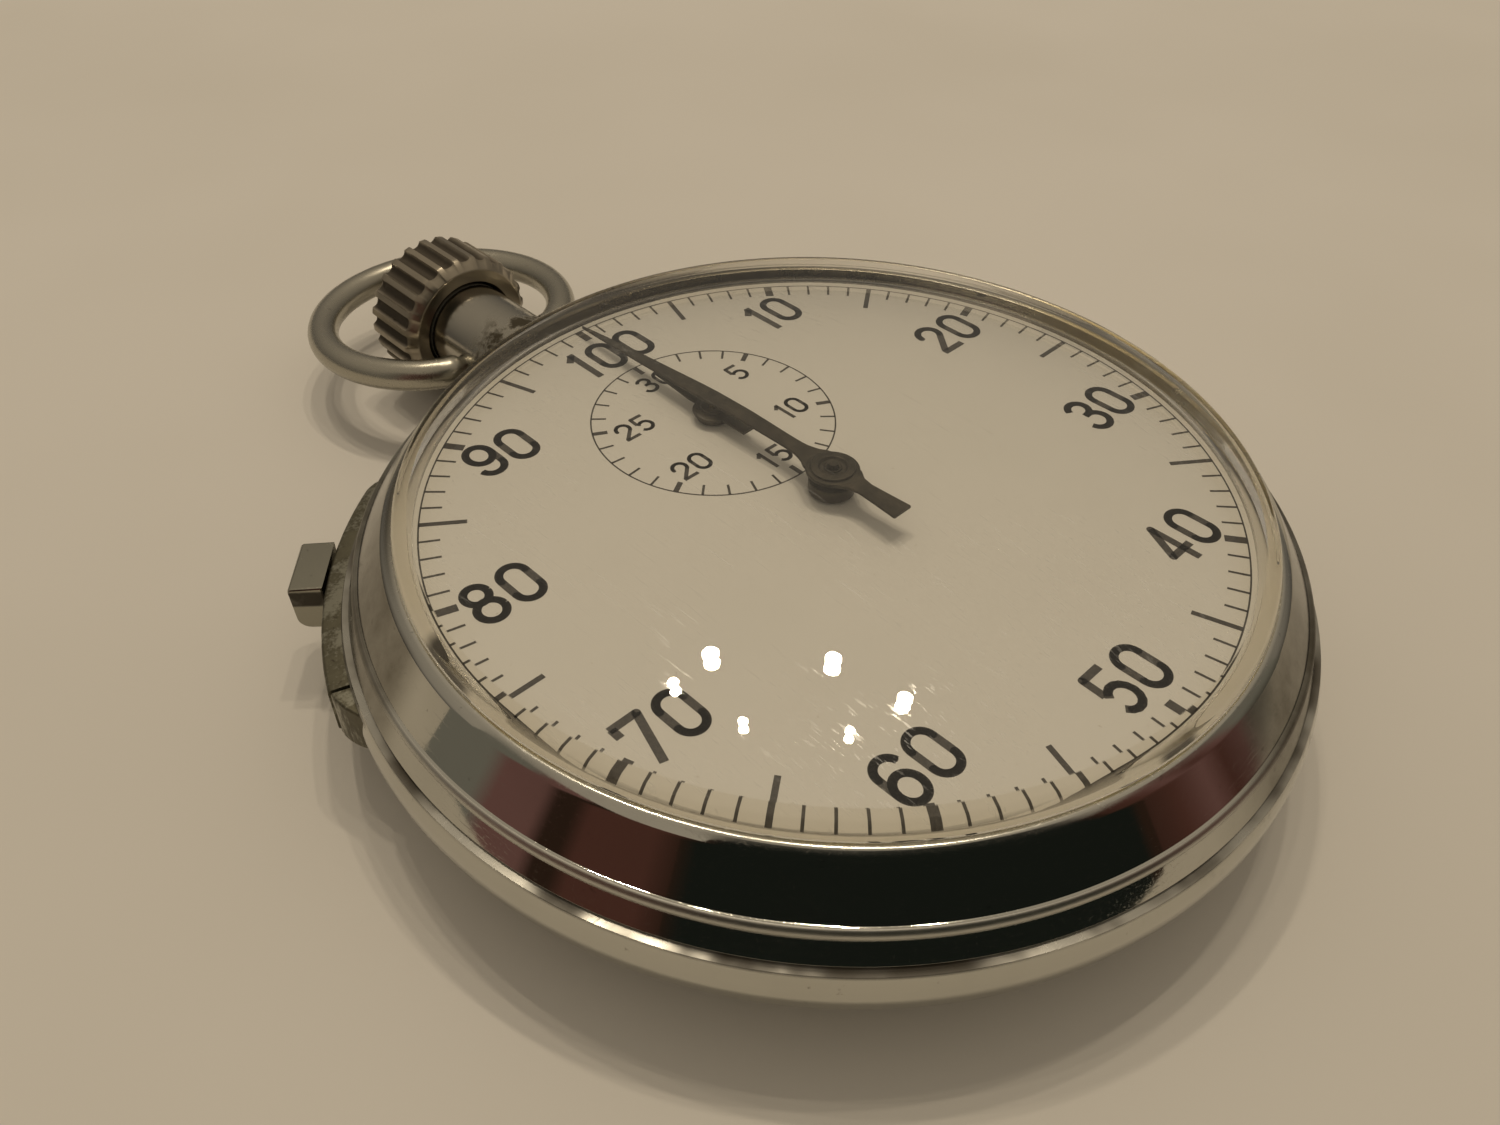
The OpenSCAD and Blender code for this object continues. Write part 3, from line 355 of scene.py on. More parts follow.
def acrylic():
    """Clear crystal with hair scratches: the dome passes light straight, the thick wall bends it."""
    s = Shader("crystal_acrylic")
    x, y, z = s.axes()
    cuts = s.ramp(s.noise(5200.0, 2.0, 0.6, s.stretched((1.0, 0.02, 1.0), (0.0, 0.0, 0.5))), 0.62, 0.7)
    cuts_b = s.ramp(s.noise(4300.0, 2.0, 0.6, s.stretched((1.0, 0.02, 1.0), (0.0, 0.0, -0.9))), 0.64, 0.72)
    patch = s.ramp(s.noise(110.0, 3.0), 0.46, 0.62)
    marks = s.math("MULTIPLY", s.math("MAXIMUM", cuts, cuts_b), patch)
    haze = s.ramp(s.noise(200.0, 4.0), 0.5, 0.8, 0.0, 0.02)
    roughness = s.math("ADD", haze, s.math("MULTIPLY", marks, 0.18))
    normal = s.bump(marks, 0.02, 0.00001)
    # The wall's colour darkens towards the far side (+Y): a painted dark reflection of the bezel's inner face
    wall_tint_and_painted_reflection = s.mix(s.ramp(y, 0.011, 0.02), rgb(0.8, 0.77, 0.7), rgb(0.5, 0.46, 0.38))
    wall = s.surface(wall_tint_and_painted_reflection, haze, 0.0, IOR=1.2, Transmission_Weight=1.0)
    clear = s.node("BsdfTransparent", Color=rgb(0.985, 0.98, 0.965))
    scratched = s.node("BsdfDiffuse", Color=rgb(0.8, 0.8, 0.78))
    gloss = s.node("BsdfGlossy", Color=rgb(1.0, 1.0, 1.0))
    s.link(roughness, gloss.inputs["Roughness"])
    s.link(normal, gloss.inputs["Normal"])
    facing = s.node("LayerWeight", Blend=0.5).outputs["Facing"]
    reflected = s.math("ADD", 0.04, s.math("MULTIPLY", s.math("POWER", facing, 5.0), 0.96))
    passing = s.mixed(s.math("MULTIPLY", marks, 0.14), clear, scratched)
    dome = s.mixed(reflected, passing, gloss)
    both = s.mixed(s.ramp(s.radius(x, y), 0.0217, 0.0218), dome, wall)
    path = s.node("LightPath")
    unseen = s.math("MAXIMUM", path.outputs["Is Shadow Ray"], path.outputs["Is Diffuse Ray"])
    whole = s.mixed(unseen, both, clear)
    s.tree.links.new(whole.outputs[0], s.output.inputs["Surface"])
    return s.material


def hand_steel():
    """Blued steel gone grey-brown, with soft brushing along the hand."""
    s = Shader("hand_steel")
    lines = s.noise(9000.0, 2.0, 0.6, s.stretched((1.0, 0.05, 1.0)))
    cloud = s.noise(800.0, 4.0, 0.6)
    color = s.mix(s.ramp(cloud, 0.35, 0.7), rgb(0.032, 0.028, 0.02), rgb(0.07, 0.06, 0.043))
    s.surface(color, s.ramp(lines, 0.3, 0.7, 0.34, 0.5), 0.75, s.bump(lines, 0.1, 0.00001))
    return s.material


def worn_strip():
    """Slide strip: dull greenish-grey plate, rubbed bright in cloudy patches."""
    s = Shader("worn_slide_plate")
    cloud = s.noise(420.0, 5.0, 0.65)
    streaks = s.noise(5200.0, 3.0, 0.6, s.stretched((1.0, 1.0, 0.12)))
    rub = s.ramp(s.math("ADD", cloud, s.math("MULTIPLY", streaks, 0.35)), 0.62, 0.8)
    color = s.mix(s.ramp(cloud, 0.35, 0.65), rgb(0.14, 0.13, 0.09), rgb(0.06, 0.053, 0.035))
    color = s.mix(rub, color, rgb(0.3, 0.29, 0.23))
    pits = s.ramp(s.noise(2400.0, 3.0, 0.6), 0.66, 0.74)
    color = s.mix(s.math("MULTIPLY", pits, 0.8), color, rgb(0.05, 0.04, 0.03))
    s.surface(color, s.ramp(rub, 0.0, 1.0, 0.5, 0.28), 0.85, s.bump(s.math("ADD", cloud, streaks), 0.15))
    return s.material


def ruby():
    """Jewel bearings and pallet stones."""
    s = Shader("ruby")
    cloud = s.noise(1500.0, 3.0)
    color = s.mix(s.ramp(cloud, 0.3, 0.7), rgb(0.55, 0.02, 0.08), rgb(0.36, 0.01, 0.05))
    s.surface(color, s.ramp(cloud, 0.3, 0.7, 0.06, 0.12), 0.0, IOR=1.76, Transmission_Weight=0.35)
    return s.material


NICKEL = rgb(0.55, 0.54, 0.49)
bezel_metal = nickel("bezel_nickel", NICKEL, 0.045, rgb(0.018, 0.014, 0.009), bezel_dirt, lip_wear, bead_matt,
                     flank_tarnish)
case_metal = nickel("case_nickel", NICKEL, 0.07, dirt_and_painted_dark=case_dirt)
back_metal = nickel("back_nickel", NICKEL, 0.1)
neck_metal = nickel("neck_nickel", rgb(0.41, 0.39, 0.34), 0.12, rgb(0.035, 0.026, 0.01), neck_dirt)
crown_metal = nickel("crown_nickel", rgb(0.36, 0.32, 0.255), 0.28, rgb(0.028, 0.019, 0.01), crown_dirt)
bow_metal = nickel("bow_nickel", rgb(0.41, 0.39, 0.33), 0.25)
knob_metal = nickel("knob_nickel", rgb(0.34, 0.33, 0.275), 0.16, dirt_and_painted_dark=knob_dirt)
slide_metal = worn_strip()
glass = acrylic()
paint = enamel()
print_ink = ink()
hands = hand_steel()
ruby_red = ruby()
brass = brushed("movement_brass", rgb(0.78, 0.6, 0.27), 0.16, (0.05, 1.0, 1.0))
bridge_nickel = brushed("movement_nickel", rgb(0.68, 0.66, 0.62), 0.16, (1.0, 0.05, 1.0))
steel = brushed("movement_steel", rgb(0.5, 0.5, 0.52), 0.14, (1.0, 1.0, 0.08))
blued = brushed("movement_blued_steel", rgb(0.05, 0.1, 0.36), 0.16, (1.0, 0.2, 1.0), 0.4,
                rgb(0.08, 0.05, 0.2))


# ------------------------------------------------------------------ mesh building, in millimetres

def make(name, verts, faces, material, angle=32.0, smooth=True):
    """Mesh object. Edges sharper than angle stay crisp; large faces keep their shading beside small ones."""
    mesh = bpy.data.meshes.new(name)
    mesh.from_pydata([(x * MM, y * MM, z * MM) for x, y, z in verts], [], faces)
    mesh.validate()
    mesh.materials.append(material)
    made = bpy.data.objects.new(name, mesh)
    bpy.context.scene.collection.objects.link(made)
    if smooth:
        mesh.shade_smooth()
        mesh.set_sharp_from_angle(angle=math.radians(angle))
        weighted = made.modifiers.new("even_shading", "WEIGHTED_NORMAL")
        weighted.keep_sharp = True
    return made


def place(piece, body, slot, *nodes):
    """Hides the CAD nodes that a piece stands for and ties the piece to its body; slot is not used."""
    if nodes:
        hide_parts(*nodes)
    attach(piece, body)
    return piece


def rounded(points, closed=True, steps=5):
    """Outline whose corners are arcs. Each point is (a, b) or (a, b, radius)."""
    count = len(points)
    made = []
    for i, p in enumerate(points):
        here = Vector(p[:2])
        radius = p[2] if len(p) > 2 else 0.0
        if radius == 0.0 or (not closed and i in (0, count - 1)):
            made.append((here.x, here.y))
            continue
        before = Vector(points[i - 1][:2])
        after = Vector(points[(i + 1) % count][:2])
        u = (before - here).normalized()
        v = (after - here).normalized()
        half = u.angle(v) / 2
        reach = min(radius / math.tan(half), (before - here).length * 0.48, (after - here).length * 0.48)
        r = reach * math.tan(half)
        centre = here + (u + v).normalized() * (r / math.sin(half))
        start = here + u * reach - centre
        end = here + v * reach - centre
        sweep = math.pi - 2 * half
        sign = 1.0 if start.x * end.y - start.y * end.x > 0 else -1.0
        for k in range(steps + 1):
            a = sign * sweep * k / steps
            c, s = math.cos(a), math.sin(a)
            made.append((centre.x + start.x * c - start.y * s, centre.y + start.x * s + start.y * c))
    return made


def arc(cx, cy, rx, ry, a0, a1, steps=12):
    """Points of an ellipse arc, angles in degrees."""
    made = []
    for k in range(steps + 1):
        a = math.radians(a0 + (a1 - a0) * k / steps)
        made.append((cx + rx * math.cos(a), cy + ry * math.sin(a)))
    return made


def grid_faces(rows, columns, wrap_rows, wrap_columns):
    """Quads between consecutive rows of equal length."""
    faces = []
    for i in range(rows if wrap_rows else rows - 1):
        for j in range(columns if wrap_columns else columns - 1):
            a, b = i, (i + 1) % rows
            c, d = j, (j + 1) % columns
            faces.append((a * columns + c, b * columns + c, b * columns + d, a * columns + d))
    return faces


def lathe(name, profile, material, steps=288, closed=True, angle=32.0):
    """Turned body round +Z from an (r, z) profile."""
    verts = []
    for i in range(steps):
        a = 2 * math.pi * i / steps
        verts += [(r * math.cos(a), r * math.sin(a), z) for r, z in profile]
    return make(name, verts, grid_faces(steps, len(profile), True, closed), material, angle)


def capped(name, rows, material, angle=32.0):
    """Loft through closed sections, with both ends filled."""
    count = len(rows[0])
    verts = [v for row in rows for v in row]
    faces = grid_faces(len(rows), count, False, True)
    faces.append(tuple(reversed(range(count))))
    faces.append(tuple(range((len(rows) - 1) * count, len(rows) * count)))
    return make(name, verts, faces, material, angle)


def recalc(piece):
    """Makes the faces of a closed mesh point outwards."""
    work = bmesh.new()
    work.from_mesh(piece.data)
    bmesh.ops.recalc_face_normals(work, faces=work.faces)
    work.to_mesh(piece.data)
    work.free()
    return piece


# ------------------------------------------------------------------ case

# Smallest radius of a turned profile, so that the points on the axis stay apart
AXIS_R = 0.0001


def flank(t):
    """Point of the case's side, from the widest circle (0) down to the resting face (90)."""
    a = math.radians(t)
    return 14 + 12.2 * math.cos(a), 6.1 - 6.1 * math.sin(a)


# Where the snap-on back meets the case middle, as an angle for flank()
SEAM_T = 26.0
# The slide's groove: its ends in degrees anticlockwise from twelve o'clock, its height and its floor
GROOVE_A0, GROOVE_A1 = 25.2, 75.5
GROOVE_Z0, GROOVE_Z1 = 3.87, 7.12
GROOVE_R = 25.56


def case_middle():
    """The case middle, with the groove that the slide runs in."""
    upper = [(25.4, 7.48), (25.5, 7.46)] + [flank(t) for t in (-12.4, -11, -9, -7)]
    side = [flank(t) for t in range(-6, 23, 2)]
    lower = [flank(t) for t in (24, SEAM_T - 0.6)]
    rim = [(24.85, 3.46), (21.5, 3.46), (21.05, 3.6), (21.05, 9.0), (22.3, 10.4), (23.5, 10.4), (23.5, 7.6),
           (25.2, 7.48)]
    outer_top = (flank(-9.6)[0], GROOVE_Z1)
    bottom = (flank(21.5)[0], GROOVE_Z0)
    angles = [float(a) for a in range(360)]
    for edge in (GROOVE_A0, GROOVE_A1):
        angles += [edge - 0.03, edge + 0.03]
    rows = []
    for a in sorted(angles):
        inside = GROOVE_A0 < a < GROOVE_A1
        profile = []
        for r, z in upper:
            profile.append((r, z) if z > GROOVE_Z1 else outer_top)
        profile.append(outer_top)
        profile.append((GROOVE_R, GROOVE_Z1) if inside else outer_top)
        for r, z in side:
            if GROOVE_Z0 < z < GROOVE_Z1:
                profile.append((min(r, GROOVE_R) if inside else r, z))
        profile.append((GROOVE_R, GROOVE_Z0) if inside else bottom)
        profile.append(bottom)
        profile += lower + rim
        t = math.radians(90 + a)
        rows.append([(r * math.cos(t), r * math.sin(t), z) for r, z in profile])
    verts = [v for row in rows for v in row]
    piece = make("case_middle_shell", verts, grid_faces(len(rows), len(rows[0]), True, True), case_metal)
    return place(recalc(piece), "case", "nickel_case", "case_middle")


def case_back():
    """Snap-on back, a shell with a flat face to rest on and a rim that stands inside the case middle."""
    outer = [flank(SEAM_T + (90 - SEAM_T) * i / 28) for i in range(28)]
    profile = [(AXIS_R, 0.0), (13.6, 0.0), (14.4, 0.004)] + list(reversed(outer))
    profile += [(24.85, 3.44), (23.4, 3.44), (22.0, 2.3), (20.94, 2.1), (20.94, 4.4), (20.4, 4.4), (20.4, 1.85),
                (19.0, 1.5), (14.0, 0.95), (AXIS_R, 0.9)]
    return place(recalc(lathe("case_back_shell", profile, back_metal)), "case", "nickel_case", "case_back")


def bezel():
    """Bezel: raised lip, polished cone, bead and skirt. Heights are from the dial."""
    d = DIAL_Z
    bead = arc(24.78, d - 2.03, 0.38, 0.38, 62, -58, 10)
    lip = rounded([(22.45, d + 0.05), (22.45, d + 0.66, 0.1), (22.8, d + 0.8, 0.35), (23.3, d + 0.5, 0.32)],
                  False)
    cone = rounded([(22.9, d + 0.78), (23.32, d + 0.47, 0.4), (24.8, d - 1.68)], False)
    skirt = rounded([(24.98, d - 2.36), (25.58, d - 3.42, 0.05), (25.52, d - 3.47, 0.02), (23.72, d - 3.46),
                     (23.72, d - 0.42), (22.92, d - 0.42), (22.92, d + 0.03)], False)
    profile = lip[:-1] + cone[1:] + bead + skirt
    return place(recalc(lathe("bezel_ring", profile, bezel_metal, 360)), "case", "nickel_case", "bezel")


def dome(dome_r, centre, reach, steps=24):
    """Points of a spherical dome from its top out to the radius reach."""
    points = []
    for i in range(steps + 1):
        r = reach * i / steps
        points.append((max(r, AXIS_R), centre + math.sqrt(dome_r ** 2 - r * r)))
    return points


def crystal():
    """Domed crystal, 1.2 thick and 5 above the dial, with a wall that stands in the bezel."""
    d = DIAL_Z
    dome_r = 76.4
    centre = d + 5.0 - dome_r
    outer = dome(dome_r, centre, 21.6)
    inner = dome(dome_r - 1.2, centre, 21.0)
    edge = rounded([outer[-1], (22.5, d + 1.66, 0.5), (22.72, d + 0.86, 0.08), (22.43, d + 0.72, 0.05),
                    (22.4, d + 0.1, 0.02), (21.78, d + 0.1, 0.02), (21.72, d + 0.62, 0.3), inner[-1]], False)
    profile = outer + edge[1:-1] + list(reversed(inner))
    piece = lathe("crystal_dome", profile, glass, 256, closed=False, angle=40)
    return place(recalc(piece), "case", "crystal", "crystal")


def turned_y(name, profile, material, steps=128, depth=None, closed=True, angle=32.0):
    """Turned body round the stem axis from (r, y) points. depth(i, a) pulls point i in at angle a."""
    rows = []
    for i in range(steps):
        a = 2 * math.pi * i / steps
        row = []
        for k, (r, y) in enumerate(profile):
            q = r - (depth(k, a) if depth else 0.0)
            row.append((q * math.cos(a), y, STEM_Z + q * math.sin(a)))
        rows.append(row)
    verts = [v for row in rows for v in row]
    return make(name, verts, grid_faces(steps, len(profile), True, closed), material, angle)


def pendant_tube():
    """Neck with a flared root, bored for the stem and its sleeve."""
    profile = rounded([(3.42, 26.0), (3.4, 26.5, 0.2), (3.2, 27.1, 0.5), (3.2, NECK_Y1, 0.12),
                       (2.45, NECK_Y1, 0.1), (2.45, 27.0), (1.15, 27.0), (1.15, 22.2), (1.83, 22.2),
                       (1.83, 26.0)])
    return place(recalc(turned_y("pendant_neck", profile, neck_metal)), "case", "nickel_case", "pendant_tube")


def crown():
    """Fluted crown with a recess that takes the neck when it is pressed."""
    flutes = 24
    samples = 20
    y0, y1, r = CROWN_Y0, CROWN_Y1, CROWN_R
    front = y0 + 2.55
    points = rounded([(3.42, front), (3.42, y0 + 0.05, 0.05), (4.3, y0, 0.2), (r - 0.05, y0 + 0.62, 0.15)],
                     False, 4)
    points += [(r, y0 + 0.85 + (y1 - y0 - 1.75) * i / 14) for i in range(15)]
    points += rounded([(r, y1 - 0.9), (r - 0.06, y1 - 0.55, 0.3), (r - 0.75, y1 - 0.12, 0.4),
                       (r - 1.6, y1 - 0.06)], False, 4)[1:]
    points += [(AXIS_R, y1), (AXIS_R, front + 0.02), (3.35, front + 0.02)]

    # How deep the flutes run at each point: nothing at the faces, full in between
    reach = []
    for q, y in points:
        share = min(1.0, max(0.0, (y - y0 - 0.5) / 0.35)) * min(1.0, max(0.0, (y1 - 0.18 - y) / 0.5))
        reach.append(share if q > r - 0.9 else 0.0)

    def depth(k, a):
        phase = (a * flutes / (2 * math.pi)) % 1.0
        cut = max(0.0, 1.0 - (abs(phase - 0.5) / 0.32) ** 2)
        return 0.5 * math.sqrt(cut) * reach[k]

    piece = turned_y("crown_fluted", points, crown_metal, flutes * samples, depth, False, 38)
    return place(recalc(piece), "crown", "nickel_case", "crown")


def bow():
    """Wire ring with turned-in ends, swept round its own plane."""
    pivot_y = (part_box("bow")[1].y / MM) - BOW_REACH
    droop = math.radians(4.0)
    ring = 8.5
    half_gap = 4.45
    wire = 1.05
    sides = 32
    lift = math.sqrt(ring ** 2 - half_gap ** 2)
    opening = math.degrees(math.asin(half_gap / ring))
    # Left half of the wire's middle line, from the pivot to the far side: across, along, wire radius
    left = [(-2.9, 0.0, 0.64), (-3.28, 0.0, 0.66), (-3.5, 0.0, 0.86), (-3.75, 0.02, 1.0)]
    start = -90 - opening
    points = arc(0, lift, ring, ring, start, start - (360 - 2 * opening), 120)
    bend = rounded([(-3.75, 0.02), (points[0][0] - 0.05, 0.06, 1.1), points[4]], False, 8)
    left += [(p[0], p[1], wire) for p in bend[1:-1] + points[4:61]]
    path = left + [(-u, v, w) for u, v, w in reversed(left[:-1])]
    rows = []
    for i, (u, v, w) in enumerate(path):
        before = path[max(0, i - 1)]
        after = path[min(len(path) - 1, i + 1)]
        along = Vector((after[0] - before[0], after[1] - before[1])).normalized()
        out = Vector((along.y, -along.x))
        row = []
        for k in range(sides):
            a = 2 * math.pi * k / sides
            x = u + out.x * w * math.cos(a)
            y = v + out.y * w * math.cos(a)
            z = w * math.sin(a)
            row.append((x, pivot_y + y * math.cos(droop) + z * math.sin(droop),
                        STEM_Z - y * math.sin(droop) + z * math.cos(droop)))
        rows.append(row)
    return place(recalc(capped("bow_ring", rows, bow_metal, 40)), "bow", "nickel_case", "bow")


def arc_loft(name, a0, a1, section, material):
    """Loft round the case axis, from a0 to a1 degrees anticlockwise from twelve o'clock.

    section(share) gives the (r, z) points of the outline at that share of the way.
    """
    steps = int((a1 - a0) / 0.5)
    rows = []
    for i in range(steps + 1):
        share = i / steps
        t = math.radians(90 + a0 + (a1 - a0) * share)
        rows.append([(r * math.cos(t), r * math.sin(t), z) for r, z in section(share)])
    return recalc(capped(name, rows, material))


def slide():
    """Strip that thins towards its upper end, and the fixed block below it."""
    top = 7.0
    low = 3.97

    def strip(share):
        outer = 27.12 - 0.9 * max(0.0, 1 - share / 0.12) ** 1.5 - 0.12 * (1 - share)
        trim = 0.14 + 0.9 * max(0.0, 1 - share / 0.07)
        return rounded([(25.68, low + 0.02), (outer, low + trim * 0.6, 0.16), (outer, top - trim, 0.2),
                        (25.68, top - 0.02)], True, 4)

    def block(share):
        outer = 27.0 - 1.15 * share ** 1.4
        foot = 4.0 + 0.5 * share ** 2
        return rounded([(25.6, foot - 0.03), (outer, foot, 0.1), (outer, 6.9, 0.15), (25.6, 6.93)], True, 4)

    piece = arc_loft("slide_strip", 31.0, 69.15, strip, slide_metal)
    place(piece, "slider", "worn_plating", "slider")
    piece = arc_loft("slide_end", 69.62, 74.6, block, slide_metal)
    place(piece, "case", "nickel_case", "slide_end_block")


def slide_knob():
    """Thumb block: flat sides, eased edges."""
    half = 1.9
    rows = []
    outline = rounded([(27.13, 4.02), (28.9, 4.02, 0.7), (29.0, 6.9, 0.2), (27.13, 6.98)], True, 5)
    middle = (sum(p[0] for p in outline) / len(outline), sum(p[1] for p in outline) / len(outline))
    for offset, shrink in ((-half, 0.16), (-half + 0.05, 0.06), (-half + 0.16, 0.0), (half - 0.16, 0.0),
                           (half - 0.05, 0.06), (half, 0.16)):
        t = math.radians(90 + KNOB_TURN)
        row = []
        for r, z in outline:
            q = r + (middle[0] - r) * shrink * 0.5
            h = z + (middle[1] - z) * shrink * 0.5
            row.append((q * math.cos(t) - offset * math.sin(t), q * math.sin(t) + offset * math.cos(t), h))
        rows.append(row)
    piece = recalc(capped("slide_thumb_block", rows, knob_metal, 28))
    place(piece, "slider", "nickel_case", "slider_knob")


# ------------------------------------------------------------------ dial

def dial():
    """Dial plate, with the hole for the hand's arbor."""
    hole = 0.62
    reach = 22.8
    under = DIAL_Z - 0.5
    profile = rounded([(hole, under), (reach, under), (reach, DIAL_Z, 0.03), (hole, DIAL_Z)])
    piece = lathe("dial_plate", profile, paint, 256)
    place(recalc(piece), "case", "dial_enamel", "dial")


class Print:
    """Flat ink shapes on the dial."""

    def __init__(self):
        self.verts = []
        self.faces = []
        self.z = DIAL_Z + 0.006

    def polygon(self, points):
        start = len(self.verts)
        self.verts += [(x, y, self.z) for x, y in points]
        self.faces.append(tuple(range(start, start + len(points))))

    def stroke(self, points, width):
        """Line with round joints and flat ends."""
        for (x0, y0), (x1, y1) in zip(points, points[1:]):
            d = Vector((x1 - x0, y1 - y0))
            if d.length < 1e-6:
                continue
            n = Vector((-d.y, d.x)).normalized() * width / 2
            self.polygon([(x0 + n.x, y0 + n.y), (x0 - n.x, y0 - n.y),
                          (x1 - n.x, y1 - n.y), (x1 + n.x, y1 + n.y)])
        for x, y in points[1:-1]:
            self.polygon(arc(x, y, width / 2, width / 2, 0, 337.5, 15))

    def ring(self, cx, cy, r, width, steps=240):
        inner = arc(cx, cy, r - width / 2, r - width / 2, 0, 360, steps)
        outer = arc(cx, cy, r + width / 2, r + width / 2, 0, 360, steps)
        for i in range(steps):
            self.polygon([outer[i], outer[i + 1], inner[i + 1], inner[i]])

    def tick(self, cx, cy, turn, r0, r1, width):
        """Radial mark; turn is clockwise from twelve o'clock in degrees."""
        a = math.radians(turn)
        u = Vector((math.sin(a), math.cos(a)))
        self.stroke([(cx + u.x * r0, cy + u.y * r0), (cx + u.x * r1, cy + u.y * r1)], width)

    def digit(self, figure, cx, cy, wide, high, pen):
        a = (wide - pen) / 2
        b = (high - pen) / 2
        for line in figure_lines(figure, a / b):
            self.stroke([(cx + x * a, cy + y * b) for x, y in line], pen)

    def number(self, text, cx, cy, wide, high, pen, gap):
        widths = [wide * (0.62 if c == "1" else 1.0) for c in text]
        x = cx - (sum(widths) + gap * (len(text) - 1)) / 2
        for c, w in zip(text, widths):
            self.digit(c, x + w / 2, cy, wide, high, pen)
            x += w + gap


def figure_lines(figure, q):
    """Centre lines of a numeral in a box from -1 to 1; q is its width over its height."""
    if figure == "0":
        return [arc(0, 1 - q, 1, q, 0, 180) + arc(0, q - 1, 1, q, 180, 360) + [(1, 1 - q), (1, 1 - q - 0.01)]]
    if figure == "1":
        return [[(-0.5, 0.6), (0.22, 1.03)], [(0.22, 1.17), (0.22, -1.17)]]
    if figure == "2":
        return [[(-1, 0.42)] + arc(0, 1 - q, 1, q, 180, -32) + [(-0.93, -0.93)], [(-1.2, -1), (1.2, -1)]]
    if figure == "3":
        return [arc(-0.05, 0.53, 0.9, 0.47, 165, -90) + [(-0.35, 0.06)], arc(0, -0.46, 1, 0.54, 95, -170)]
    if figure == "4":
        return [[(0.42, -1.17), (0.42, 1.0), (-1.0, -0.46), (-0.9, -0.5)], [(-1.1, -0.46), (1.25, -0.46)]]
    if figure == "5":
        return [[(1.0, 1.0), (-0.85, 1.0), (-0.92, 0.06)], arc(0, -0.4, 1, 0.6, 148, -150)]
    if figure == "6":
        return [arc(0, 1 - q, 1, q, 12, 180) + [(-1, -0.4)] + arc(0, -0.4, 1, 0.6, 180, -180, 24)]
    if figure == "7":
        return [[(-1.0, 0.52), (-1.0, 1.0)], [(-1.2, 1.0), (1.0, 1.0), (-0.28, -1.17)]]
    if figure == "8":
        return [arc(0, 0.52, 0.88, 0.48, 0, 360, 24), arc(0, -0.46, 1, 0.54, 0, 360, 24)]
    return [[(-x, -y) for x, y in line] for line in figure_lines("6", q)]


def dial_print():
    """Track in hundredths of a minute, the minute counter, and their numerals; no words."""
    ink_on = Print()
    track = 21.5
    ink_on.ring(0, 0, track, 0.09)
    for i in range(100):
        turn = i * 3.6
        if i % 10 == 0:
            ink_on.tick(0, 0, turn, 20.35, track, 0.5)
        elif i % 5 == 0:
            ink_on.tick(0, 0, turn, 19.05, track, 0.3)
        else:
            ink_on.tick(0, 0, turn, 20.4, track, 0.15)
    # Middles of the numerals
    spots = {10: (10.6, 14.85), 20: (17.0, 5.7), 30: (17.1, -5.5), 40: (10.55, -14.8), 50: (0.0, -18.35),
             60: (-10.8, -14.9), 70: (-17.1, -5.85), 80: (-17.2, 5.65), 90: (-10.7, 14.8), 100: (0.0, 18.3)}
    for value, (x, y) in spots.items():
        ink_on.number(str(value), x, y, 1.85, 3.1, 0.44, 0.3)
    counter = 6.97
    ink_on.ring(0, COUNTER_Y, counter, 0.09, 160)
    for i in range(30):
        bold = i % 5 == 0
        ink_on.tick(0, COUNTER_Y, i * 12, counter - 0.85, counter, 0.3 if bold else 0.14)
    # Middles of the counter's numerals, from its own centre
    small = {30: (0.0, 5.05), 5: (4.2, 2.4), 10: (3.95, -2.35), 15: (0.0, -4.9), 20: (-3.9, -2.4),
             25: (-3.9, 2.37)}
    for value, (x, y) in small.items():
        ink_on.number(str(value), x, COUNTER_Y + y, 1.05, 1.6, 0.23, 0.18)
    piece = make("dial_print", ink_on.verts, ink_on.faces, print_ink, smooth=False)
    place(piece, "case", "dial_enamel")


# ------------------------------------------------------------------ hands

def blade(name, sections, thick):
    """Thin hand lofted along Y. Each section is (y, half width, underside height)."""
    rows = []
    ease = 0.035
    for y, half, z in sections:
        e = min(ease, half * 0.4)
        rows.append([(-half + e, y, z), (half - e, y, z), (half, y, z + e), (half, y, z + thick - e),
                     (half - e, y, z + thick), (0.0, y, z + thick + 0.02), (-half + e, y, z + thick),
                     (-half, y, z + thick - e), (-half, y, z + e)])
    return recalc(capped(name, rows, hands, 24))


